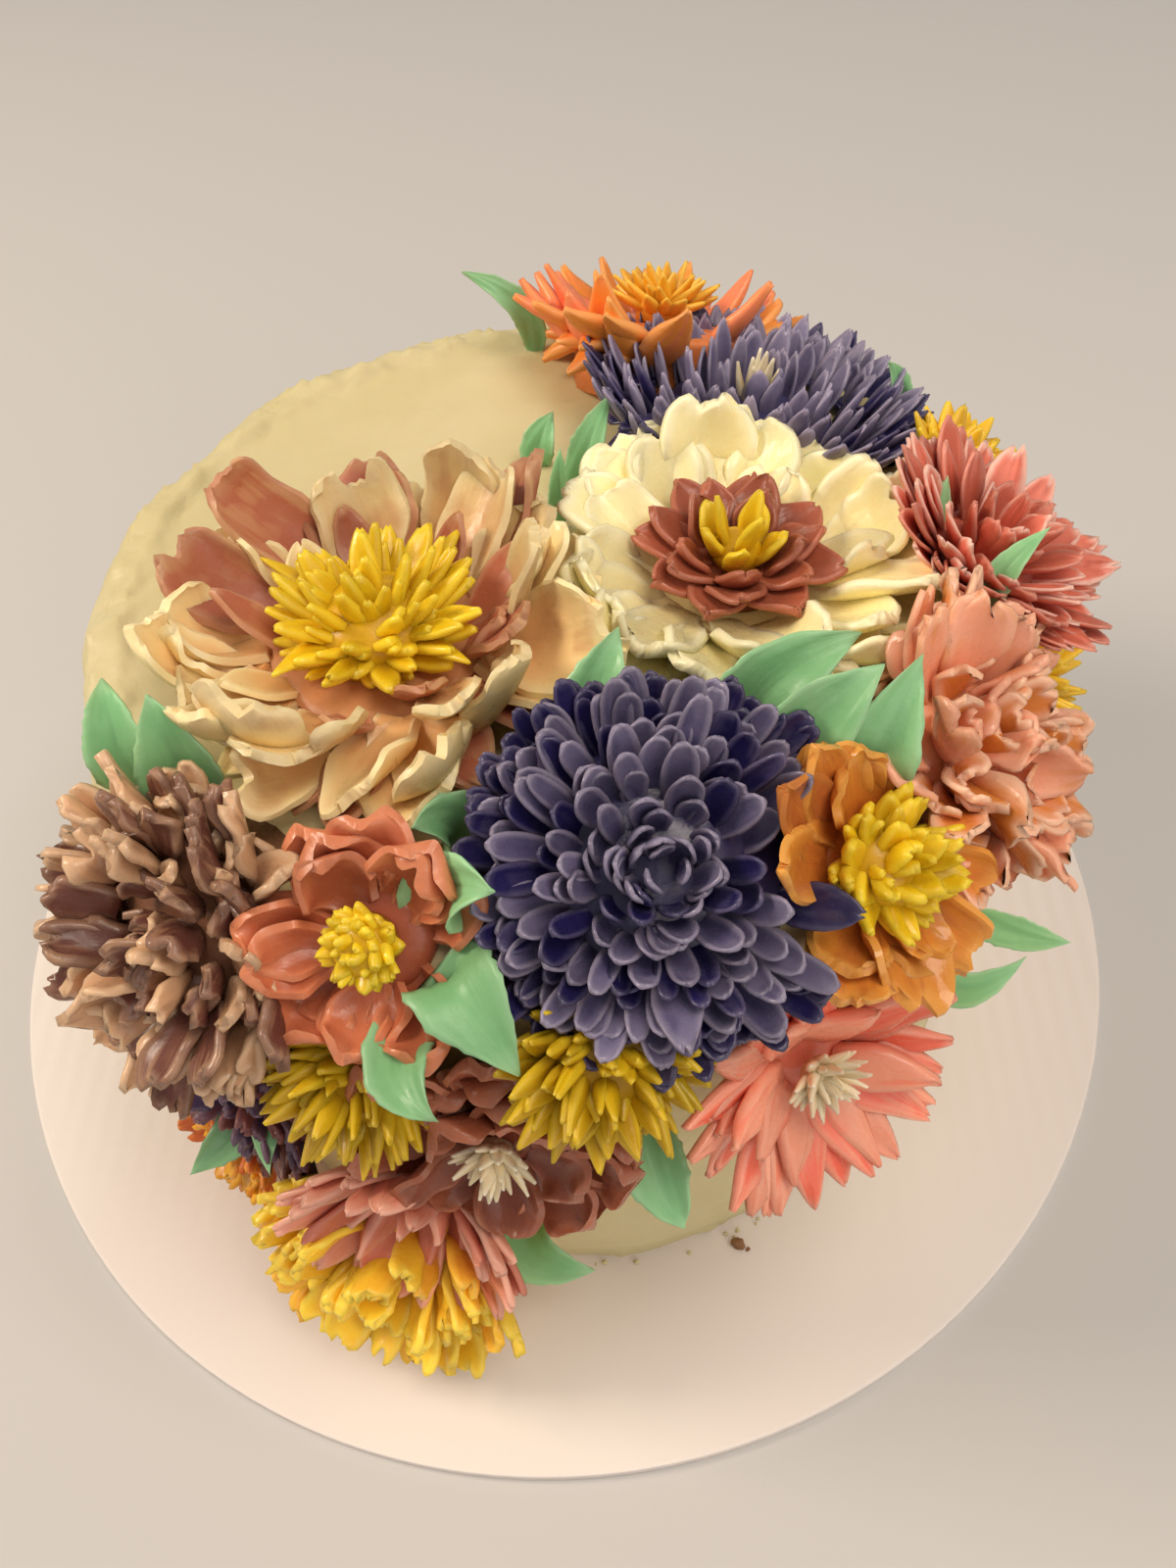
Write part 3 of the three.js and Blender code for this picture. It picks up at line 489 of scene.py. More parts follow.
def add_row(skin, place, row, k, rng, over=()):
    """Adds one ring of petals to a flower, uneven in place, length, width, bend and turn. A ring with
    no spin of its own starts half a petal on from the ring before, and has no petals in what lies over."""
    n, wild = row.count, row.wild
    step = TAU / n
    first = 0.5 * step * (k % 2) if row.spin is None else np.radians(row.spin)
    spin = step * np.arange(n) + min(step, 0.6) * 0.24 * wild * rng.uniform(-1, 1, n) + first
    polar = np.radians(row.polar + 5 * wild * rng.uniform(-1, 1, n))
    tip = place.dome(polar, spin, row.reach * (1 + 0.07 * wild * rng.uniform(-1, 1, n)))
    tip[:, 2] -= row.sink
    astray = spin + min(0.3 * step, 0.3) * wild * rng.uniform(-1, 1, n)
    root = place.dome(polar, astray, 1.0) * np.array([row.root, row.root, row.low])
    side = np.stack([-np.sin(spin), np.cos(spin), 0 * spin], -1)
    width = row.width * (1 + 0.14 * wild * rng.uniform(-1, 1, n))
    tint = (rng.uniform(0, 1, n) < row.tint).astype(float)
    bend = np.radians(row.bend * (1 + 0.5 * wild * rng.uniform(-1, 1, n)))
    twist = np.radians(row.twist * wild * rng.uniform(-1, 1, n))
    tone = rng.uniform(0, 1, n)
    rows, foot = place.axes()
    free = np.ones(n, bool)
    for other in over if row.spin is None else ():
        for share in (0.75, 1.0):
            free &= ~PLACES[other].holds((root + share * (tip - root)) @ rows + foot)
    if not free.any():
        return
    drawn = (values[free] for values in (root, tip, side, width, bend, twist, tone, tint))
    points, faces, marks, uv = petals(FORMS[row.form], *drawn, rng)
    skin.add(set_down(place, points, marks[:, 0] > 0.3), faces, marks, uv)


# How much of a ring's girth petals take up, and the least angle in degrees at which that is reckoned
GIRTH_SHARE = 0.85
LEAST_POLAR = 8


def dome_rows(node, width, form, rows, lowest, top, pack=0.8, tint=0.0, skirt=(0.0, 0.0), **more):
    """Rings of equal petals over a flower's dome, with as many in each ring as its girth holds, and one
    petal on top. skirt is the share of the rings, from below, that have a tint of their own, and it."""
    made = []
    for k, polar in enumerate(np.linspace(lowest, top, rows)):
        girth = TAU * PLACES[node].spread * np.sin(np.radians(max(polar, LEAST_POLAR))) * GIRTH_SHARE
        count = max(int(round(girth / (width * pack))), 3)
        below = k / (rows - 1) < skirt[0]
        made.append(Row(count, polar, width, form, tint=skirt[1] if below else tint, **more))
    made.append(Row(1, 1, width, form, tint=tint, **more))
    return made


# Materials

def add_node(tree, kind, inputs=None, out=0, **settings):
    """Adds a node with its settings and returns its socket out. Each entry of inputs is a socket to
    link, a hex colour or a plain value, for the input of that name or number."""
    node = tree.nodes.new(kind)
    for key, value in settings.items():
        setattr(node, key, value)
    for key, value in (inputs or {}).items():
        if isinstance(value, bpy.types.NodeSocket):
            tree.links.new(value, node.inputs[key])
        else:
            node.inputs[key].default_value = linear(value) if isinstance(value, str) else value
    return node.outputs[out] if node.outputs else None


def new_material(name):
    """An empty node material and its tree."""
    material = bpy.data.materials.new(name)
    material.use_nodes = True
    material.node_tree.nodes.clear()
    return material, material.node_tree


def per(size):
    """The scale of a pattern on Object coordinates that repeats about once in size, in mm."""
    return 1 / (size * MM)


# Kinds of nodes with the settings that the materials share
RANGE = dict(kind="ShaderNodeMapRange", interpolation_type="SMOOTHSTEP")
MIX = dict(kind="ShaderNodeMix", data_type="RGBA", out=2)
NOISE = dict(kind="ShaderNodeTexNoise")
SUM, PRODUCT, LARGER = (dict(kind="ShaderNodeMath", operation=operation)
                        for operation in ("ADD", "MULTIPLY", "MAXIMUM"))

# Butter cream's IOR, and the share of light that goes a little way into it, red light furthest
CREAM_SHEEN = {"IOR": 1.46, "Subsurface Weight": 0.2}

# The sizes in mm of colour patches and of small lumps in piped icing, and of streaks along and across it
PATCH, LUMP = 8.333, 2.381
STREAK_LONG, STREAK_WIDE = 14.286, 1.6667


def icing(name, main, second, edge, deep, streak=0.1, blotch=0.4, rough=0.34, rim_from=0.6, root_to=0.5):
    """Piped butter cream: fat and sugar beaten smooth, so it is soft and shiny and a little light goes
    into it. main and second are the two colours of the piping bag: petals marked with tint take the
    second, which also shows in soft blotches and streaks. edge is the colour of the thin rim and the
    tip: their own paler icing, with painted light where light comes through. deep is painted shade in
    the hollow and towards the root."""
    material, tree = new_material(name)
    along, border, tone, tint, hollow = (
        add_node(tree, "ShaderNodeAttribute", out=2, attribute_name=label) for label in MARKS)
    uv = add_node(tree, "ShaderNodeUVMap", uv_map="petal")
    spot = add_node(tree, "ShaderNodeTexCoord", out=3)
    stretch = (1 / STREAK_WIDE, 1 / STREAK_LONG, 1)
    stretched = add_node(tree, "ShaderNodeMapping", {"Vector": uv, "Scale": stretch})
    streaks = add_node(tree, inputs={"Vector": stretched, "Scale": 1.0, "Detail": 2.0}, **NOISE)
    patches = add_node(tree, inputs={"Vector": spot, "Scale": per(PATCH), "Detail": 1.0}, **NOISE)
    lumps = add_node(tree, inputs={"Vector": spot, "Scale": per(LUMP), "Detail": 3.0}, **NOISE)
    one = add_node(tree, inputs={0: streaks, 1: 0.35, 2: 0.65, 3: -streak, 4: streak}, **RANGE)
    two = add_node(tree, inputs={0: patches, 1: 0.4, 2: 0.65, 3: -0.5 * blotch, 4: blotch}, **RANGE)
    both = add_node(tree, inputs={0: one, 1: two}, **SUM)
    amount = add_node(tree, inputs={0: tint, 1: both}, use_clamp=True, **SUM)
    colour = add_node(tree, inputs={0: amount, 6: main, 7: second}, **MIX)
    # Painted shade: near the root and in the hollow the colour goes over to deep, which on tinted petals is
    # the second colour
    near_root = add_node(tree, inputs={0: along, 1: 0.0, 2: root_to, 3: 0.9, 4: 0.0}, **RANGE)
    inside = add_node(tree, inputs={0: along, 1: 0.3, 2: 1.0, 3: 0.75, 4: 0.1}, **RANGE)
    inside = add_node(tree, inputs={0: inside, 1: hollow}, **PRODUCT)
    depth = add_node(tree, inputs={0: near_root, 1: inside}, **LARGER)
    shaded = add_node(tree, inputs={0: tint, 6: deep, 7: second}, **MIX)
    colour = add_node(tree, inputs={0: depth, 6: colour, 7: shaded}, **MIX)
    # Painted light with the rims' own paler icing: the rim and the tip go over to edge
    rim = add_node(tree, inputs={0: border, 1: rim_from, 2: 1.0, 3: 0.0, 4: 0.6}, **RANGE)
    tip = add_node(tree, inputs={0: along, 1: 0.86, 2: 1.0, 3: 0.0, 4: 0.6}, **RANGE)
    plain = add_node(tree, inputs={0: tint, 1: 0.0, 2: 1.0, 3: 1.0, 4: 0.3}, **RANGE)
    rim = add_node(tree, inputs={0: add_node(tree, inputs={0: rim, 1: tip}, **LARGER), 1: plain}, **PRODUCT)
    colour = add_node(tree, inputs={0: rim, 6: colour, 7: edge}, **MIX)
    shade = add_node(tree, inputs={0: tone, 1: 0.0, 2: 1.0, 3: 0.84, 4: 1.12}, **RANGE)
    colour = add_node(tree, "ShaderNodeVectorMath", {0: colour, 3: shade}, operation="SCALE")
    height = add_node(tree, "ShaderNodeMath", {0: streaks, 1: 0.8, 2: lumps}, operation="MULTIPLY_ADD")
    bump = add_node(tree, "ShaderNodeBump", {"Height": height, "Strength": 0.35, "Distance": 0.0004})
    gloss = add_node(tree, inputs={0: lumps, 1: 0.3, 2: 0.7, 3: rough - 0.08, 4: rough + 0.12}, **RANGE)
    shader = add_node(tree, "ShaderNodeBsdfPrincipled", {
        "Base Color": colour, "Roughness": gloss, "Normal": bump, "Subsurface Radius": (1.0, 0.7, 0.45),
        "Subsurface Scale": 0.002, **CREAM_SHEEN})
    add_node(tree, "ShaderNodeOutputMaterial", {0: shader})
    return material


# The frosting's name, and the sizes in mm of its clouds, of a stroke's length and width and of its grain
FROSTING = "trowelled butter cream"
CLOUD, STROKE_LONG, STROKE_WIDE, GRAIN = 71.43, 33.33, 6.25, 0.7692


def frosting_material(settings):
    """Butter cream spread and smoothed with a palette knife: matter than piped icing, with faint long
    strokes and a slightly deeper colour in broad soft clouds."""
    material, tree = new_material(FROSTING)
    spot = add_node(tree, "ShaderNodeTexCoord", out=3)
    strokes = add_node(tree, "ShaderNodeMapping",
                       {"Vector": spot, "Scale": (per(STROKE_LONG), per(STROKE_WIDE), per(STROKE_WIDE))})
    broad = add_node(tree, inputs={"Vector": spot, "Scale": per(CLOUD), "Detail": 2.0, "Distortion": 1.2},
                     **NOISE)
    fine = add_node(tree, inputs={"Vector": strokes, "Scale": 1.0, "Detail": 4.0, "Distortion": 0.6},
                    **NOISE)
    grain = add_node(tree, inputs={"Vector": spot, "Scale": per(GRAIN), "Detail": 2.0}, **NOISE)
    cloudy = add_node(tree, inputs={0: broad, 1: 0.35, 2: 0.65}, **RANGE)
    colour = add_node(tree, inputs={0: cloudy, 6: settings.frosting, 7: settings.frosting_deep}, **MIX)
    height = add_node(tree, "ShaderNodeMath", {0: grain, 1: 0.25, 2: fine}, operation="MULTIPLY_ADD")
    bump = add_node(tree, "ShaderNodeBump", {"Height": height, "Strength": 0.4, "Distance": 0.0006})
    gloss = add_node(tree, inputs={0: fine, 1: 0.3, 2: 0.7, 3: 0.42, 4: 0.58}, **RANGE)
    shader = add_node(tree, "ShaderNodeBsdfPrincipled", {
        "Base Color": colour, "Roughness": gloss, "Normal": bump, "Subsurface Radius": (1.0, 0.75, 0.4),
        "Subsurface Scale": 0.003, **CREAM_SHEEN})
    add_node(tree, "ShaderNodeOutputMaterial", {0: shader})
    return material


# The sizes in mm of the liner's fibres, drawn coarser than they are so that they show, and of its clouds
FIBRE, LINER_CLOUD = 2.5, 111.11


def card_material(settings):
    """White kraft liner over fluted board: matt and faintly fibrous, the flutes just showing through."""
    material, tree = new_material("white lined corrugated board")
    spot = add_node(tree, "ShaderNodeTexCoord", out=3)
    fibre = add_node(tree, inputs={"Vector": spot, "Scale": per(FIBRE), "Detail": 5.0}, **NOISE)
    clouds = add_node(tree, inputs={"Vector": spot, "Scale": per(LINER_CLOUD), "Detail": 2.0}, **NOISE)
    cloudy = add_node(tree, inputs={0: clouds, 1: 0.3, 2: 0.7}, **RANGE)
    colour = add_node(tree, inputs={0: cloudy, 6: settings.card, 7: settings.card_shade}, **MIX)
    bump = add_node(tree, "ShaderNodeBump", {"Height": fibre, "Strength": 0.12, "Distance": 0.0003})
    shader = add_node(tree, "ShaderNodeBsdfPrincipled",
                      {"Base Color": colour, "Roughness": 0.62, "IOR": 1.5, "Normal": bump})
    add_node(tree, "ShaderNodeOutputMaterial", {0: shader})
    return material


# Settings

COLOUR = dict(subtype="COLOR", size=4, min=0.0, max=1.0)
LENGTH = dict(subtype="DISTANCE", unit="LENGTH", precision=5)


class CakeSettings(bpy.types.PropertyGroup):
    """Sizes and colours of the cake and its card."""

    flute_pitch: bpy.props.FloatProperty(
        name="Flute pitch", description="Spacing of the card's flutes", default=5.7 * MM, min=0.003,
        max=0.009, **LENGTH)
    flute_depth: bpy.props.FloatProperty(
        name="Flute depth", description="How far the flutes show", default=0.28 * MM, min=0.0, max=0.0005,
        **LENGTH)
    frosting: bpy.props.FloatVectorProperty(
        name="Frosting", description="Colour of the frosting", default=linear("D9CD9F"), **COLOUR)
    frosting_deep: bpy.props.FloatVectorProperty(
        name="Frosting, deep", description="Colour in its hollows", default=linear("D3C694"), **COLOUR)
    card: bpy.props.FloatVectorProperty(
        name="Card", description="Colour of the card", default=linear("EDE5DE"), **COLOUR)
    card_shade: bpy.props.FloatVectorProperty(
        name="Card, shaded", description="Colour of its darker clouds", default=linear("E9DFD8"), **COLOUR)
    leaf: bpy.props.FloatVectorProperty(
        name="Leaf", description="Colour of the leaves", default=linear("88C088"), **COLOUR)
    # Painted light: the colour that the leaves' rims and tips take, where light comes through the thin icing
    leaf_painted_rim_light: bpy.props.FloatVectorProperty(
        name="Leaf, light", description="Colour of the leaves' edges", default=linear("A4D2A2"), **COLOUR)


# Operators

def finished(name):
    """Raises an error if a piece is missing from the scene."""
    if name not in bpy.data.objects:
        raise RuntimeError(f"{name} was not made")


# The way the flutes run, in degrees from +X, and the card's edge as heights and insets in mm
FLUTES_LIE = 86.7
CARD_EDGE = ((2.2, 0.15), (1.5, 0.35), (0.8, 0.15), (0.3, 0.0), (0.0, 0.3))
CARD_ROLL = 0.35
EDGE_WAVER = 0.12


class CAKE_OT_card(bpy.types.Operator):
    """The round card: a disc whose top rises and falls a little over each flute"""

    bl_idname = "cake.card"
    bl_label = "Card"

    def execute(self, context):
        settings = context.scene.cake
        pitch, deep = settings.flute_pitch / MM, settings.flute_depth / MM
        spin = np.linspace(0, TAU, 288, endpoint=False)
        radii = np.concatenate([np.linspace(4, CARD_RADIUS - 1, 110), [CARD_RADIUS - 0.3, CARD_RADIUS]])
        lie = np.radians(FLUTES_LIE)
        x, y = radii[:, None] * np.cos(spin), radii[:, None] * np.sin(spin)
        across = x * np.sin(lie) - y * np.cos(lie)
        flute = 0.5 * deep * (np.cos(TAU * across / pitch) - 1)
        top = np.stack([x, y, CARD_THICK + flute], -1)
        top[-1, :, 2] = CARD_THICK - CARD_ROLL
        side = []
        for height, inset in CARD_EDGE:
            between = 0.5 < height < 2.5
            waver = EDGE_WAVER * np.cos(TAU * across[-1] / pitch * between)
            r = CARD_RADIUS - inset + np.minimum(waver, 0)
            side.append(np.stack([r * np.cos(spin), r * np.sin(spin), 0 * spin + height], -1))
        rings = np.concatenate([np.array(side)[::-1], top[::-1]])
        points = np.concatenate([rings.reshape(-1, 3), [[0, 0, 0], [0, 0, CARD_THICK]]])
        skin = Skin()
        skin.add(points, tube_quads(len(rings), len(spin)), np.zeros((len(points), 5)), points[:, :2])
        skin.build("cake_card", card_material(settings), "white_card", "card")
        finished("cake_card")
        return {"FINISHED"}


def icing_ripple(angle, station):
    """The slow unevenness of the icing round the cake, in mm, as a sum of four sines."""
    broad = 0.6 * np.sin(3 * angle + station) + 0.4 * np.sin(5 * angle + 1.7 * station)
    ragged = 0.7 * np.sin(11 * angle + 2.3 * station) + 0.5 * np.sin(14 * angle - station)
    return broad + ragged


def fractal(angle, height, rng, octaves, start):
    """Smooth noise over angle and height: sines of rising frequency and falling size, random phases."""
    total = 0 * angle
    for k in range(octaves):
        frequency = start * 1.8 ** k
        for _ in range(3):
            around = rng.integers(int(frequency * 0.6) + 1, int(frequency * 1.4) + 2)
            climb = rng.uniform(-1, 1) * frequency * 0.03
            total = total + np.sin(around * angle + climb * height + rng.uniform(0, TAU)) / 1.6 ** k / 3
    return total


class CAKE_OT_body(bpy.types.Operator):
    """The frosted cake: a straight wall, a rounded shoulder with a ragged raised lip, and a smooth top"""

    bl_idname = "cake.body"
    bl_label = "Cake"

    def execute(self, context):
        # Each station of the profile is a radius, a height, the slope in degrees of the icing's normal, how
        # uneven it is and a number that tells the ripples apart
        inner, shoulder = CAKE_RADIUS - CAKE_SHOULDER, CAKE_TALL - CAKE_SHOULDER
        stations = [(CAKE_RADIUS - 1.5, 0.0, -90.0, 0.0, 0), (CAKE_RADIUS + 0.6, 1.8, 0.0, 0.9, 2)]
        for z in np.linspace(4, shoulder - 1, 44):
            stations.append((CAKE_RADIUS, z, 0.0, 0.5, 2 + 3 * z / CAKE_TALL))
        for turn in np.linspace(0, 75, 14):
            t = np.radians(turn)
            out, up = CAKE_SHOULDER * np.cos(t), CAKE_SHOULDER * np.sin(t)
            stations.append((inner + out, shoulder + up, turn, 1.0, 5 + turn / 45))
        for back in np.linspace(1, 8, 8):
            ridge = np.exp(-((back - 1.5) / 2.2) ** 2)
            stations.append((inner - back, CAKE_TALL + ridge, 90.0, 0.9 * ridge, 7))
        for r in np.linspace(inner - 11, 2, 60):
            stations.append((r, CAKE_TALL, 90.0, 0.0, 8))
        r, z, slope, uneven, station = np.array(stations).T[:, :, None]
        angle = np.linspace(0, TAU, 420, endpoint=False)[None] + 0 * r
        rng = draw(7)
        rough = fractal(angle, z + r, rng, 5, 22) * 0.55
        jagged = np.maximum(fractal(angle, z - r, rng, 4, 60), 0) * 1.1
        lip = np.exp(-((r + CAKE_TALL - z - inner - 1.5) / 6.0) ** 2) * (z > CAKE_TALL - 9)
        stroke = 0.28 * np.sin(r * 0.33 + 1.5 * np.sin(2 * angle) + 2 * np.sin(angle + 0.8))
        stroke = stroke * (z >= CAKE_TALL) * (r < inner - 8) * smooth_step(2, 25, r)
        push = uneven * icing_ripple(angle, station) + rough * (0.25 + 1.2 * lip) * (uneven > 0)
        push = push + jagged * lip + stroke * 0.6
        seam = np.exp(-(z / 2.6) ** 2) * (slope > -45)
        push = push + seam * (0.5 + 0.9 * np.maximum(fractal(angle, z, rng, 4, 50), 0))
        tilt = np.radians(slope)
        out, up = r + push * np.cos(tilt), z + push * np.sin(tilt)
        rings = np.stack([out * np.cos(angle), out * np.sin(angle), up], -1)
        points = np.concatenate([rings.reshape(-1, 3), [[0, 0, 0], [0, 0, CAKE_TALL]]]) + CAKE_AT
        points[:, 2] = np.maximum(points[:, 2], CARD_THICK)
        skin = Skin()
        skin.add(points, tube_quads(len(rings), angle.shape[1]), np.zeros((len(points), 5)), points[:, :2])
        skin.build("frosted_cake", frosting_material(context.scene.cake), "butter_frosting", "cake")
        finished("frosted_cake")
        return {"FINISHED"}


def make_flower(node, rows, material, slot, seed, mound=0.92, crisp=False):
    """One flower of several rows of petals on its mound."""
    place, rng, skin = PLACES[node], draw(seed), Skin()
    add_mound(skin, place, mound)
    for k, row in enumerate(rows):
        add_row(skin, place, row, k, rng, OVER.get(node, ()))
    skin.build("icing_" + node, material, slot, node, crisp)
    finished("icing_" + node)


class CAKE_OT_mums(bpy.types.Operator):
    """The chrysanthemums: domes of narrow scooped or torn petals"""

    bl_idname = "cake.mums"
    bl_label = "Chrysanthemums"

    def execute(self, context):
        # In each icing here the third colour is the rims' and tips' own paler icing with painted light, and
        # the fourth is painted shade for the hollows and roots
        violet = icing("violet butter cream", "7D7692", "241F50", "8F889C", "443F68", rough=0.24,
                       root_to=0.3)
        rows = dome_rows("violet_main", 5.0, "scoop", 13, 114, 8, 0.9, 0.22, (0.4, 0.95), root=0.62, bend=35,
                         wild=1.6)
        rows += [Row(6, 17, 5, "scoop", 0.98, 0.7, bend=35, wild=1.4),
                 Row(3, 8, 4.5, "scoop", 1.0, 0.75, bend=35),
                 Row(1, 64, 8, "slim", 1.1, 0.6, bend=5, spin=66, tint=1.0, wild=0.2),
                 Row(1, 46, 8, "slim", 1.16, 0.6, bend=5, spin=-6, wild=0.2)]
        make_flower("violet_main", rows, violet, "violet_icing", 11)
        far = icing("violet butter cream, far flower", "8A829E", "2A2558", "A39BB2", "5A5478", root_to=0.3)
        rows = [Row(26, 104, 6, "slim", 0.9, 0.6, sink=sink, tint=0.9, bend=10) for sink in (12, 8, 4)]
        rows += dome_rows("violet_back", 5.2, "slim", 7, 98, 14, 0.85, 0.1, (0.2, 0.8), root=0.78, low=0.3,
                          bend=20, reach=0.97, wild=1.4)
        make_flower("violet_back", rows, far, "violet_icing", 12, 0.7)
        brown = icing("tan and dark brown butter cream", "D4A880", "6A4036", "E2C09C", "A87656", streak=0.25,
                      blotch=0.3, rough=0.28)
        rows = dome_rows("brown_mum", 8.6, "stub", 8, 108, 10, 0.9, 0.45, root=0.66, bend=14, wild=2.2,
                         twist=40, reach=0.95)
        make_flower("brown_mum", rows, brown, "brown_icing", 13, 0.8)
        amber = icing("amber butter cream", "DE8E44", "EEA684", "F8D4BC", "CC7434", streak=0.4, rough=0.26,
                      rim_from=0.4)
        rows = dome_rows("orange_mum", 10.0, "torn", 7, 108, 10, tint=0.45, bend=20, wild=2.2, twist=35)
        make_flower("orange_mum", rows, amber, "amber_icing", 14, 0.8)
        orange = icing("orange butter cream", "F6983E", "F88C62", "FAB26A", "E68A2C", streak=0.3)
        rows = [Row(15, 104, 9, "finger", 0.85, 0.5, sink=sink, bend=-5) for sink in (11, 5)]
        rows += [Row(16, 88, 9.5, "finger", 0.98, 0.5, bend=15, wild=1.6, tint=0.5),
                 Row(14, 66, 9.5, "finger", 1.06, 0.6, 0.2, bend=15, wild=1.6, tint=0.5),
                 Row(11, 46, 9, "finger", 1.14, 0.6, 0.2, bend=10, wild=1.6, tint=0.3)]
        make_flower("orange_back", rows, orange, "orange_icing", 15, 0.9)
        coral = icing("coral butter cream", "FD775A", "F9A88A", "FAB49A", "F06C54", streak=0.6, rough=0.22)
        rows = [Row(13, 100, 10, "finger", 1.0, 0.3, bend=-8, wild=1.4, tint=0.3),
                Row(12, 86, 10, "finger", 1.0, 0.3, bend=-5, wild=1.6, tint=0.3),
                Row(10, 68, 9.5, "finger", 0.98, 0.3, bend=10, wild=1.6, tint=0.4),
                Row(8, 50, 9, "finger", 1.05, 0.35, bend=20, wild=1.8, tint=0.8)]
        make_flower("coral_front", rows, coral, "coral_icing", 16, 0.6)
        brick = icing("brick and coral butter cream", "F28C74", "C86850", "FCDCCC", "DA705A", streak=0.6)
        rows = dome_rows("coral_back", 7.4, "slim", 6, 106, 12, tint=0.4, root=0.45, bend=15, wild=1.7)
        make_flower("coral_back", rows, brick, "coral_icing", 17, 0.8)
        yellow = icing("warm yellow butter cream", "FFD73A", "FDBC3E", "FFE05A", "F8BE34", rough=0.26)
        rows = dome_rows("yellow_low", 8.8, "stub", 6, 106, 12, 0.84, 0.15, root=0.55, bend=15, wild=1.7,
                         reach=0.92)
        make_flower("yellow_low", rows, yellow, "yellow_icing", 18, 0.85)
        pink = icing("dusty pink butter cream", "E89C82", "D67E66", "F2BCA6", "C87058", streak=0.6)
        rows = [Row(13, 100, 11, "leafy", 1.08, 0.3, sink=-7, bend=5, wild=1.2, tint=0.3),
                Row(11, 80, 10.5, "leafy", 1.02, 0.3, sink=-9, bend=10, wild=1.4, tint=0.3),
                Row(9, 58, 9, "leafy", 0.95, 0.3, sink=-9, bend=10, wild=1.4, tint=0.3),
                Row(5, 25, 8, "finger", 0.95, 0.3, sink=-6, bend=10, wild=1.6, tint=0.3)]
        make_flower("pink_low", rows, pink, "pink_icing", 19, 0.8)
        dusk = icing("dark mauve butter cream", "4C3C58", "80483E", "7A6274", "362A48", streak=0.5)
        rows = dome_rows("dark_low", 6.4, "torn", 6, 106, 12, tint=0.35, root=0.55, bend=15, wild=1.5)
        make_flower("dark_low", rows, dusk, "dusk_icing", 20, 0.8)
        flame = icing("orange and yellow butter cream", "E06A34", "F0B52A", "EE8F44", "C85424", streak=0.5)
        rows = dome_rows("orange_low", 6.6, "torn", 5, 106, 14, tint=0.4, root=0.55, bend=15, wild=1.5)
        make_flower("orange_low", rows, flame, "orange_icing", 21, 0.8)
        return {"FINISHED"}


class CAKE_OT_small_mums(bpy.types.Operator):
    """The small yellow flowers: domes of pointed spikes"""

    bl_idname = "cake.small_mums"
    bl_label = "Small yellow flowers"

    def execute(self, context):
        # In each icing here the third colour is the rims' and tips' own paler icing with painted light, and
        # the fourth is painted shade for the hollows and roots
        mustard = icing("mustard yellow butter cream", "CCA816", "B8920C", "D8BA2C", "A87C08")
        for k, node in enumerate(("yellow_mum_right", "yellow_mum_left")):
            rows = dome_rows(node, 4.5, "thorn", 8, 112, 10, 0.84, root=0.6, bend=4, wild=2.4)
            make_flower(node, rows, mustard, "yellow_icing", 30 + k)
        yellow = icing("bright yellow butter cream", "F0C428", "E6AE1C", "F5D244", "D89A14")
        for k, node in enumerate(("yellow_right", "yellow_left", "yellow_back")):
            rows = dome_rows(node, 4.8, "thorn", 5, 106, 14, 0.85, root=0.45, bend=4, reach=1.1, wild=1.8)
            make_flower(node, rows, yellow, "yellow_icing", 33 + k, 0.8)
        return {"FINISHED"}


class CAKE_OT_dahlias(bpy.types.Operator):
    """The two big flowers on top, with broad troughs for petals, torn along their rims"""

    bl_idname = "cake.dahlias"
    bl_label = "Dahlias"

    def execute(self, context):
        # In each icing here the third colour is the rims' and tips' own paler icing with painted light, and
        # the fourth is painted shade for the hollows and roots
        peach = icing("ivory and peach butter cream", "F2DA9C", "B2684C", "F6E4B4", "DEA468", blotch=0.3,
                      rim_from=0.7, root_to=0.6)
        rows = [Row(14, 101, 14, "leafy", 1.0, 0.45, sink=12, bend=10, tint=0.8, wild=1.4),
                Row(11, 98, 20, "blade", 0.96, 0.5, sink=5, bend=60, twist=30, wild=1.8, tint=0.1),
                Row(9, 84, 18, "blade", 0.98, 0.5, 0.45, sink=-3, bend=60, twist=30, wild=1.8, tint=0.25),
                Row(8, 64, 15, "blade", 0.94, 0.5, 0.35, sink=-2, bend=50, twist=30, wild=1.8, tint=0.4),
                Row(9, 52, 10, "leafy", 0.9, 0.5, 0.35, bend=30, wild=1.8, tint=0.7),
                Row(1, 42, 13, "blade", 1.12, 0.85, 0.3, sink=-3, bend=12, spin=146, wild=0.3),
                Row(4, 76, 16, "blade", 0.96, 0.65, 0.3, sink=-7, bend=40, spin=-160, wild=1.8, tint=0.2)]
        make_flower("peach_dahlia", rows, peach, "ivory_peach_icing", 41, 0.85, True)
        cream = icing("pale cream butter cream", "FDF3BA", "F8E6A2", "FDF6D0", "F4E2A0", blotch=0.3,
                      rim_from=0.7, rough=0.26)
        rows = [Row(11, 100, 20, "lobe", 1.0, 0.45, sink=6, bend=35, twist=25, wild=1.6),
                Row(10, 86, 20, "lobe", 0.98, 0.4, sink=0, bend=40, twist=28, wild=1.8),
                Row(9, 70, 18, "lobe", 0.96, 0.4, 0.4, sink=-3, bend=45, twist=28, wild=1.8),
                Row(7, 56, 15, "lobe", 0.9, 0.4, 0.4, sink=-2, bend=40, twist=25, wild=1.6),
                Row(1, 60, 20, "lobe", 0.95, 0.75, 0.2, sink=-9, bend=30, spin=112, wild=0.3),
                Row(2, 64, 17, "blade", 0.9, 0.65, 0.3, sink=-5, bend=35, spin=25, wild=1.0)]
        make_flower("cream_dahlia", rows, cream, "cream_icing", 42, 0.85)
        return {"FINISHED"}


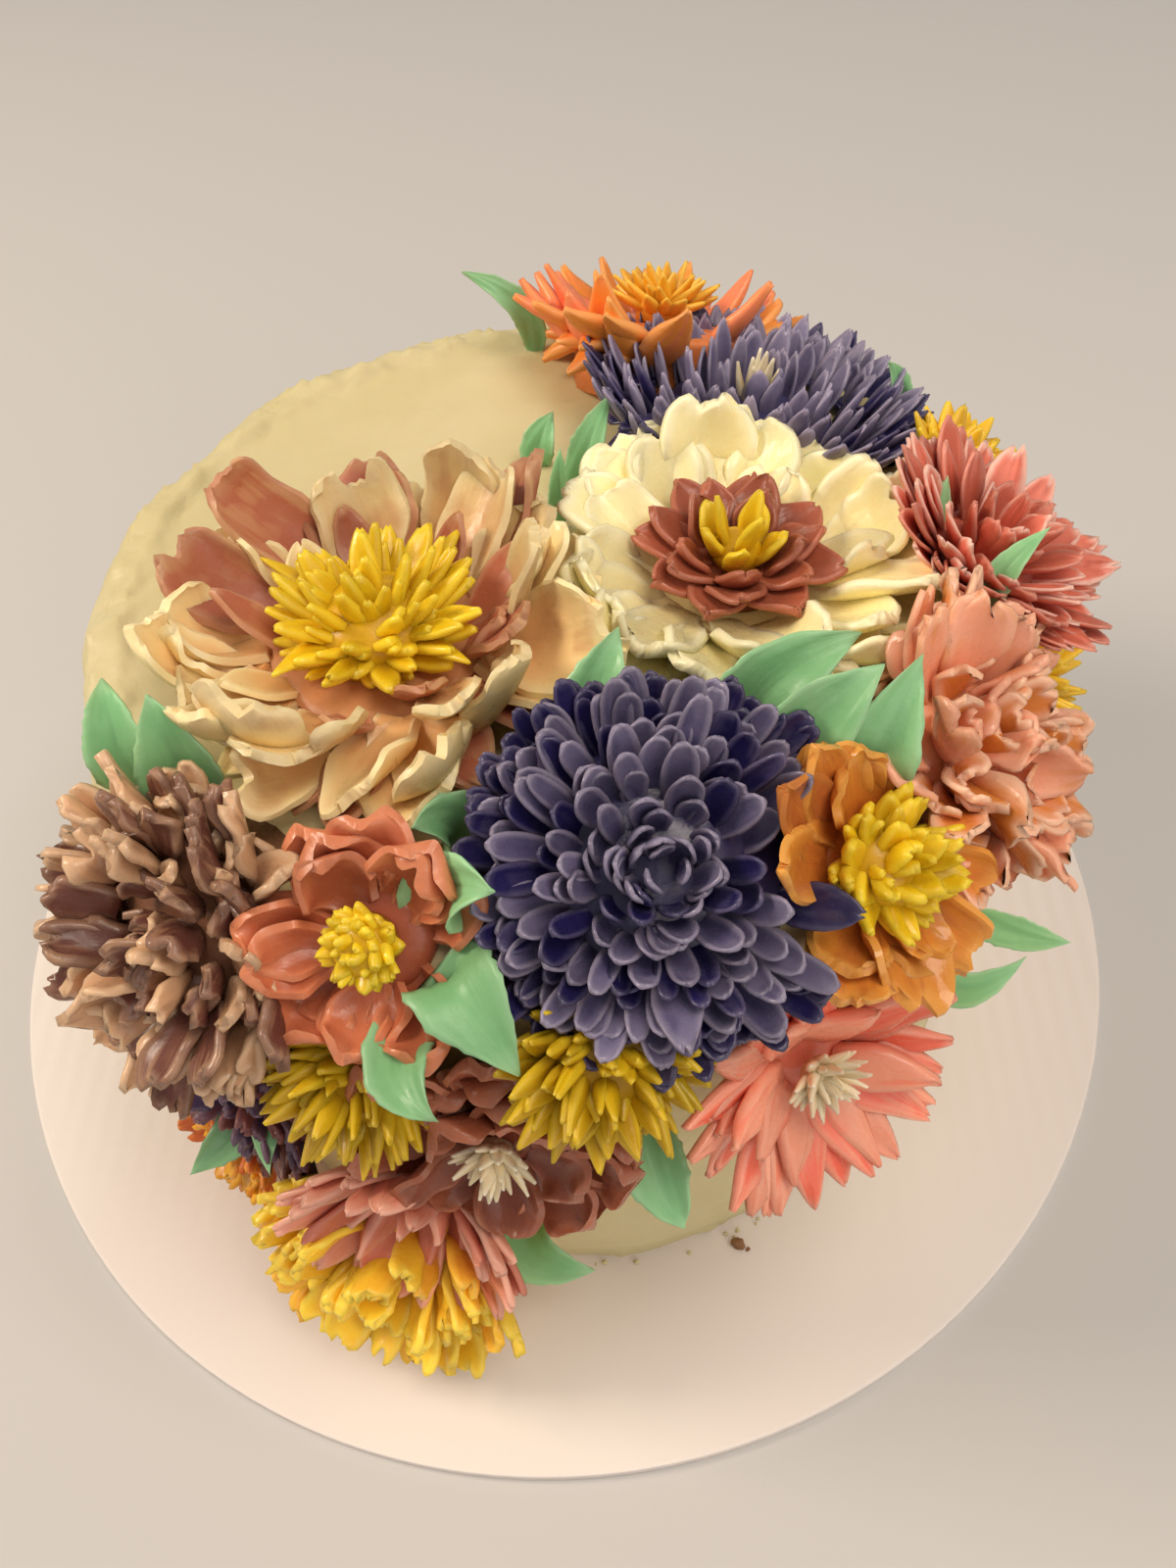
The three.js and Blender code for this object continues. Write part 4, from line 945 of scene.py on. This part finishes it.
class CAKE_OT_roses(bpy.types.Operator):
    """The three roses, with rolled and ruffled petals"""

    bl_idname = "cake.roses"
    bl_label = "Roses"

    def execute(self, context):
        # In each icing here the third colour is the rims' and tips' own paler icing with painted light, and
        # the fourth is painted shade for the hollows and roots
        rust = icing("terracotta butter cream", "C97450", "B86246", "D68A64", "A6583A", rim_from=0.8,
                     rough=0.28)
        rows = [Row(8, 98, 16, "loop", 1.05, 0.3, 0.35, bend=50, twist=10, wild=1.2),
                Row(6, 78, 15, "loop", 1.05, 0.28, 0.4, bend=70, twist=15, wild=1.2),
                Row(5, 58, 12, "loop", 1.0, 0.35, 0.45, bend=75, twist=15, wild=1.0)]
        make_flower("rust_rose", rows, rust, "rust_icing", 51, 0.8, True)
        amber = icing("glossy amber butter cream", "DA8E38", "C06E34", "E8AA54", "BC6A2A", streak=0.4,
                      rough=0.18, rim_from=0.75)
        rows = [Row(8, 102, 17, "blade", 1.0, 0.3, 0.35, bend=30, twist=25, wild=1.3),
                Row(7, 86, 16, "blade", 0.98, 0.28, 0.4, bend=20, twist=30, wild=1.4),
                Row(6, 66, 12, "blade", 0.9, 0.35, 0.45, bend=40, twist=25, wild=1.3),
                Row(1, 84, 14, "leafy", 1.2, 0.4, sink=-5, bend=25, spin=194, wild=0.4),
                Row(1, 80, 15, "leafy", 1.25, 0.4, sink=-5, bend=25, spin=216, wild=0.4, tint=1.0),
                Row(1, 76, 13, "leafy", 1.2, 0.4, sink=-6, bend=25, spin=238, wild=0.4)]
        make_flower("amber_rose", rows, amber, "amber_icing", 52, 0.8, True)
        chestnut = icing("chestnut butter cream", "A05A40", "84432E", "B87458", "7A3A28", streak=0.3,
                         rough=0.28, rim_from=0.8)
        rows = [Row(7, 98, 17, "loop", 1.08, 0.3, 0.35, bend=35, twist=25, wild=1.4),
                Row(6, 76, 15, "loop", 1.05, 0.28, 0.4, bend=60, twist=25, wild=1.5),
                Row(5, 56, 12, "loop", 1.0, 0.35, 0.45, bend=60, twist=20, wild=1.3)]
        for spin in (140, 180, 220):
            rows.append(Row(1, 98, 15, "loop", 1.4, 0.5, sink=2, bend=30, spin=spin, wild=0.6))
        make_flower("brown_rose", rows, chestnut, "chestnut_icing", 53, 0.8, True)
        return {"FINISHED"}


class CAKE_OT_hearts(bpy.types.Operator):
    """The hearts of the open flowers: heaps of drops, and the ring of broad pointed petals"""

    bl_idname = "cake.hearts"
    bl_label = "Flower hearts"

    def execute(self, context):
        # In each icing here the third colour is the rims' and tips' own paler icing with painted light, and
        # the fourth is painted shade for the hollows and roots
        yellow = icing("yellow butter cream drops", "EBC91E", "E2B414", "F2D53C", "CC9C10", rough=0.28)
        rows = dome_rows("peach_dahlia_heart", 4.8, "drop", 6, 104, 14, 0.86, root=0.45, low=0.3, bend=8,
                         reach=1.04, wild=2.4)
        rows.append(Row(4, 88, 5, "spike", 1.35, 0.5, bend=-8, spin=-80, wild=1.4))
        for spin in (100, 130, 160, 190):
            rows.append(Row(1, 70, 5.5, "leafy", 1.3, 0.5, bend=5, spin=spin, wild=1.2))
        make_flower("peach_dahlia_heart", rows, yellow, "yellow_icing", 60)
        rows = [Row(5, 66, 5.2, "leafy", 1.2, 0.6, 0.1, sink=-2, bend=12, wild=1.6),
                Row(3, 32, 5.2, "leafy", 1.45, 0.4, 0.1, sink=-2, bend=10, wild=1.6)]
        make_flower("cream_dahlia_heart", rows, yellow, "yellow_icing", 61)
        rows = dome_rows("rust_rose_heart", 3.4, "drop", 4, 100, 16, 0.9, root=0.4, low=0.3, bend=5,
                         reach=0.86, wild=2.0)
        make_flower("rust_rose_heart", rows, yellow, "yellow_icing", 62)
        rows = dome_rows("amber_rose_heart", 4.8, "drop", 5, 108, 20, 0.85, root=0.3, low=0.3, bend=50,
                         reach=1.1, wild=2.2)
        make_flower("amber_rose_heart", rows, yellow, "yellow_icing", 63)
        gold = icing("golden butter cream drops", "F2B630", "F0A038", "F8CC54", "DC9020")
        rows = dome_rows("orange_back_heart", 4.8, "spike", 4, 98, 16, 0.85, root=0.3, low=0.3, bend=5,
                         reach=1.4, wild=1.6)
        make_flower("orange_back_heart", rows, gold, "yellow_icing", 64)
        pale = icing("pale cream butter cream drops", "F2E2BE", "E6D2A4", "F8EED4", "D8BE90")
        for k, node in enumerate(("coral_front_heart", "brown_rose_heart")):
            rows = dome_rows(node, 2.6, "spike", 3, 92, 20, 1.0, root=0.3, low=0.2, bend=5, reach=1.1,
                             wild=2.0)
            make_flower(node, rows, pale, "pale_icing", 66 + k, 0.7)
        base = PLACES["violet_back"]
        stamens, rng = Skin(), draw(70)
        middle = Place(base.azimuth, base.reach, base.height, base.lean, 8, 10, 22, 0.7)
        for count, polar in ((6, 40), (3, 15)):
            add_row(stamens, middle, Row(count, polar, 3.2, "spike", 1.0, 0.4, bend=5, wild=1.8), 0, rng)
        stamens.build("violet_back_stamens", pale, "pale_icing", None)
        rust = icing("brick butter cream", "AA5C42", "945038", "B6725A", "864430", rough=0.3, rim_from=0.8)
        rows = [Row(8, 96, 12, "leafy", 1.05, 0.25, 0.4, bend=20, wild=0.9),
                Row(7, 80, 10.5, "leafy", 0.9, 0.25, 0.3, bend=30, sink=-4, wild=0.9),
                Row(5, 62, 9, "leafy", 0.75, 0.3, 0.2, bend=20, sink=-7, wild=0.9)]
        make_flower("cream_dahlia_ring", rows, rust, "rust_icing", 68)
        return {"FINISHED"}


# Leaves: azimuth, reach and height of where the blade opens and of its tip, and its full width, in degrees
# and mm
LEAVES = (
    (91, 86, 131, 101, 91, 147, 7.5), (46, 57, 135, 47, 59, 145, 6), (31, 98, 130, 32, 95, 140, 6),
    (354, 77, 135, 358, 80, 149, 9), (343, 88, 139, 347, 97, 151, 7), (93, 39, 129, 87, 43, 138, 8),
    (74, 26, 130, 66, 37, 148, 8), (83, 18, 130, 81, 22, 144, 4.5), (210, 95, 130, 204, 92, 144, 12),
    (219, 88, 135, 215, 87, 152, 15), (276, 50, 136, 286, 42, 150, 15), (306, 61, 138, 321, 70, 149, 16),
    (301, 76, 140, 313, 80, 156, 18), (311, 82, 136, 320, 81, 150, 14), (255, 72, 132, 252, 81, 145, 14),
    (257, 85, 136, 263, 92, 147, 15), (259, 100, 131, 265, 113, 125, 16), (255, 112, 121, 259, 120, 123, 12),
    (198, 112, 46, 203, 123, 36, 8), (240, 111, 105, 237, 117, 111, 7), (276, 108, 77, 278, 121, 68, 13),
    (261, 107, 31, 269, 115, 30, 13), (230, 112, 58, 229, 129, 56, 11), (235, 112, 72, 238, 122, 68, 7),
    (329, 107, 64, 330, 125, 66, 8), (310, 107, 88, 317, 119, 94, 7),
)
LEAF_FACING = np.array([0, -0.62, 0.78])
LEAF_THICK = 1.5

# The leaf's outline, as shares of its length and of its width, and its fold, vein, wave and ridges
LEAF_OUTLINE = (0, 0.2, 0.4, 0.6, 0.8, 0.93, 1), (0.5, 0.86, 1.0, 0.93, 0.6, 0.25, 0.04)
LEAF_FOLD = 0.45
VEIN_TALL, VEIN_WIDE = 0.55, 0.8
LEAF_TORN = 0.05
LEAF_WAVE = 0.06
RIDGE_TALL, RIDGE_TURN = 0.2, 2.2

# How far leaves lie over the petals round them, in mm, by their number
LEAF_RAISED = {11: 6.0, 12: 2.0, 13: 2.0, 14: 8.0, 16: 6.5, 17: 1.0, 18: 4.0}


def on_cake(azimuth, reach, height):
    """A point in the cake's frame from an azimuth in degrees, a reach and a height."""
    a = np.radians(azimuth)
    return np.array([reach * np.cos(a), reach * np.sin(a), height])


def leaf_points(spec, raised, rng):
    """A piped leaf: a parabola from its root through where it opens to its tip, folded along a raised
    vein, its edges wavy and a little torn, with a thickness that thins to the edge."""
    azimuth, reach, height, tip_azimuth, tip_reach, tip_height, width = spec
    over_top = height >= CAKE_TALL
    root = on_cake(azimuth, min(reach, CAKE_RADIUS - 4), CAKE_TALL - 1) if over_top \
        else on_cake(azimuth, CAKE_RADIUS - 1, height)
    opened = on_cake(azimuth, reach, height) + raised * LEAF_FACING
    tip = on_cake(tip_azimuth, tip_reach, tip_height) + raised * LEAF_FACING
    first = np.linalg.norm(opened - root)
    middle = first / (first + np.linalg.norm(tip - opened))
    control = (opened - (1 - middle) ** 2 * root - middle ** 2 * tip) / max(2 * middle * (1 - middle), 0.2)
    rings, across = 26, 13
    u = np.linspace(0, 1, rings)[:, None]
    spine = (1 - u) ** 2 * root + 2 * u * (1 - u) * control + u ** 2 * tip
    along = unit(np.gradient(spine, axis=0))
    side = unit(np.cross(LEAF_FACING, along))
    face = np.cross(along, side)
    outline = np.interp(u[:, 0], *LEAF_OUTLINE)
    v = np.concatenate([np.linspace(-1, 1, across), np.linspace(1, -1, across)])
    skin = np.concatenate([-np.ones(across), np.ones(across)])
    torn = rng.uniform(-1, 1, (rings, 2)) * LEAF_TORN
    edge = 1 + np.where(v < 0, torn[:, :1], torn[:, 1:]) * np.abs(v) ** 3
    x = 0.5 * width * outline[:, None] * v * edge
    fold = LEAF_FOLD * np.abs(x)
    vein = VEIN_TALL * np.exp(-(x / VEIN_WIDE) ** 2) * (1 - u)
    wave = LEAF_WAVE * width * np.sin(TAU * 1.25 * u + rng.uniform(0, TAU)) * np.sign(v) * v ** 2
    ridges = RIDGE_TALL * np.sin(np.abs(x) * RIDGE_TURN + 9 * u)
    y = fold + wave + (vein + ridges) * (skin > 0)
    y = y + 0.5 * LEAF_THICK * skin * (1 - 0.5 * v ** 2) * (1 - 0.4 * u)
    points = spine[:, None] + side[:, None] * x[..., None] + face[:, None] * y[..., None]
    ends = np.array([points[0].mean(0), tip + along[-1] * 0.6])
    every = np.concatenate([points.reshape(-1, 3), ends])
    marks = np.zeros((len(every), 5))
    # along and edge place the material's painted light on the leaf's rim and tip
    marks[:-2, 0] = np.repeat(u[:, 0], 2 * across)
    marks[-1, 0] = 1
    marks[:-2, 1] = np.tile(np.abs(v), rings)
    marks[:, 2] = rng.uniform(0, 1)
    uv = np.zeros((len(every), 2))
    uv[:-2, 0] = np.tile(v, rings) * 0.5 * width
    uv[:-2, 1] = marks[:-2, 0] * 20
    return every + CAKE_AT, tube_quads(rings, 2 * across), marks, uv


class CAKE_OT_leaves(bpy.types.Operator):
    """The leaves between the flowers, each folded along its vein"""

    bl_idname = "cake.leaves"
    bl_label = "Leaves"

    def execute(self, context):
        settings = context.scene.cake
        # The leaves' rims and tips are painted lighter, for light coming through; their deep colour is the
        # leaf colour itself, so no shade is painted
        green = icing("mint green butter cream", settings.leaf, "76B67A", settings.leaf_painted_rim_light, settings.leaf,
                      rough=0.36)
        for k, spec in enumerate(LEAVES):
            name = f"leaf_{k + 1:02d}"
            skin = Skin()
            skin.add(*leaf_points(spec, LEAF_RAISED.get(k + 1, 0.0), draw(100 + k)))
            skin.build("icing_" + name, green, "leaf_icing", name)
            finished("icing_" + name)
        return {"FINISHED"}


def crumb(skin, x, y, size, rng):
    """A crumb on the card: a sphere swollen and dented by two random waves, cut flat underneath."""
    around = 12
    polar = np.radians(np.linspace(160, 20, 7))[:, None]
    spin = np.linspace(0, TAU, around, endpoint=False)[None]
    a, b = rng.uniform(0, TAU, 2)
    radius = size * (1 + 0.22 * np.sin(2 * spin + a + 2 * polar) + 0.16 * np.sin(3 * spin + b - 3 * polar))
    level = np.sin(polar) * radius
    rings = np.stack([level * np.cos(spin), level * np.sin(spin), np.cos(polar) * radius], -1)
    points = np.concatenate([rings.reshape(-1, 3), [[0, 0, -size], [0, 0, size]]])
    points = points + np.array([x, y, CARD_THICK + 0.5 * size])
    points[:, 2] = np.maximum(points[:, 2], CARD_THICK)
    marks = np.tile([0.7, 0.0, rng.uniform(0, 1), 0.0, 0.0], (len(points), 1))
    skin.add(points, tube_quads(len(rings), around), marks, points[:, :2])


# Where frosting crumbs lie, as ranges of azimuth in degrees with how many, and the brown cake crumbs: x, y
# and size in mm
PALE_CRUMBS = ((268, 304, 9), (180, 215, 4))
BROWN_CRUMBS = ((39.3, -104.6, 1.5), (41.6, -106.0, 0.5))


class CAKE_OT_crumbs(bpy.types.Operator):
    """A few crumbs on the card in front of the cake"""

    bl_idname = "cake.crumbs"
    bl_label = "Crumbs"

    def execute(self, context):
        rng = draw(200)
        pale = Skin()
        for azimuth in np.concatenate([rng.uniform(*spread) for spread in PALE_CRUMBS]):
            reach = CAKE_RADIUS + rng.uniform(1.0, 2.5) + rng.exponential(1.0)
            spot = on_cake(azimuth, reach, 0) + CAKE_AT
            crumb(pale, spot[0], spot[1], rng.uniform(0.3, 0.7), rng)
        pale.build("frosting_crumbs", bpy.data.materials[FROSTING], "butter_frosting", None)
        finished("frosting_crumbs")
        brown = Skin()
        for x, y, size in BROWN_CRUMBS:
            crumb(brown, x, y, size, rng)
        baked = icing("brown cake crumb", "8A6444", "7A5438", "9A7452", "6E4C32", rough=0.7)
        brown.build("cake_crumb", baked, "brown_icing", None)
        finished("cake_crumb")
        return {"FINISHED"}


# The camera: its place in mm, the ways its right and its top point, and its lens
CAMERA_AT = Vector((10.81, -205.77, 317.22))
CAMERA_RIGHT = Vector((0.99756, -0.05498, -0.04310))
CAMERA_UP = Vector((0.06986, 0.78511, 0.61540))
CAMERA_LENS = 29.25
CAMERA_SENSOR = 36.0

# The floor's half width and what the lights point at, in metres, and each light's name, place, size,
# power in watts and colour
FLOOR_HALF = 4.0
TARGET = Vector((0, 0, 0.08))
LIGHTS = (("window", (-1.1, 0.15, 1.05), 0.5, 13.0, "FFEDD8"),
          ("ceiling", (0.5, -0.2, 1.6), 0.8, 12.0, "FFF0E0"),
          ("fill", (0.8, -1.3, 0.9), 1.4, 8.0, "FFF2E8"))


class CAKE_OT_stage(bpy.types.Operator):
    """A plain pale floor, soft studio light and the camera"""

    bl_idname = "cake.stage"
    bl_label = "Stage"

    def execute(self, context):
        scene = context.scene
        material, tree = new_material("pale studio floor")
        shader = add_node(tree, "ShaderNodeBsdfPrincipled", {"Base Color": "C9C7C4", "Roughness": 0.8})
        add_node(tree, "ShaderNodeOutputMaterial", {0: shader})
        corners = [(x * FLOOR_HALF, y * FLOOR_HALF, 0) for x, y in ((-1, -1), (1, -1), (1, 1), (-1, 1))]
        mesh = bpy.data.meshes.new("floor")
        mesh.from_pydata(corners, [], [(0, 1, 2, 3)])
        mesh.materials.append(material)
        floor = bpy.data.objects.new("floor", mesh)
        scene.collection.objects.link(floor)
        world = bpy.data.worlds.new("soft room")
        world.use_nodes = True
        back = world.node_tree.nodes["Background"]
        back.inputs[0].default_value = linear("DAD8D6")
        back.inputs[1].default_value = 0.45
        scene.world = world
        for name, at, width, power, colour in LIGHTS:
            lamp = bpy.data.lights.new(name, "AREA")
            lamp.size, lamp.energy, lamp.color = width, power, linear(colour)[:3]
            item = bpy.data.objects.new(name, lamp)
            item.location = at
            item.rotation_euler = (TARGET - Vector(at)).to_track_quat("-Z", "Y").to_euler()
            scene.collection.objects.link(item)
        lens = bpy.data.cameras.new("view")
        lens.lens, lens.sensor_width, lens.sensor_fit = CAMERA_LENS, CAMERA_SENSOR, "AUTO"
        lens.clip_start = 0.01
        camera = bpy.data.objects.new("view", lens)
        toward = CAMERA_RIGHT.cross(CAMERA_UP)
        turn = Matrix((CAMERA_RIGHT, CAMERA_UP, toward)).transposed().to_4x4()
        camera.matrix_world = Matrix.Translation(CAMERA_AT * MM) @ turn
        scene.collection.objects.link(camera)
        scene.camera = camera
        scene.view_settings.view_transform = "Standard"
        return {"FINISHED"}


STEPS = (CAKE_OT_card, CAKE_OT_body, CAKE_OT_mums, CAKE_OT_small_mums, CAKE_OT_dahlias, CAKE_OT_roses,
         CAKE_OT_hearts, CAKE_OT_leaves, CAKE_OT_crumbs, CAKE_OT_stage)


class CAKE_PT_panel(bpy.types.Panel):
    """Lists the steps that build the cake"""

    bl_idname = "CAKE_PT_panel"
    bl_label = "Butter cream flower cake"
    bl_space_type = "VIEW_3D"
    bl_region_type = "UI"
    bl_category = "Cake"

    def draw(self, context):
        for name in CakeSettings.__annotations__:
            self.layout.prop(context.scene.cake, name)
        for step in STEPS:
            self.layout.operator(step.bl_idname)


CLASSES = (CakeSettings, *STEPS, CAKE_PT_panel)


def register():
    for item in CLASSES:
        bpy.utils.register_class(item)
    bpy.types.Scene.cake = bpy.props.PointerProperty(type=CakeSettings)


def unregister():
    del bpy.types.Scene.cake
    for item in reversed(CLASSES):
        bpy.utils.unregister_class(item)


def main():
    """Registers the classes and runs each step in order."""
    register()
    for step in STEPS:
        getattr(bpy.ops.cake, step.bl_idname.split(".")[1])()
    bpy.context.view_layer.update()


if __name__ == "__main__":
    main()
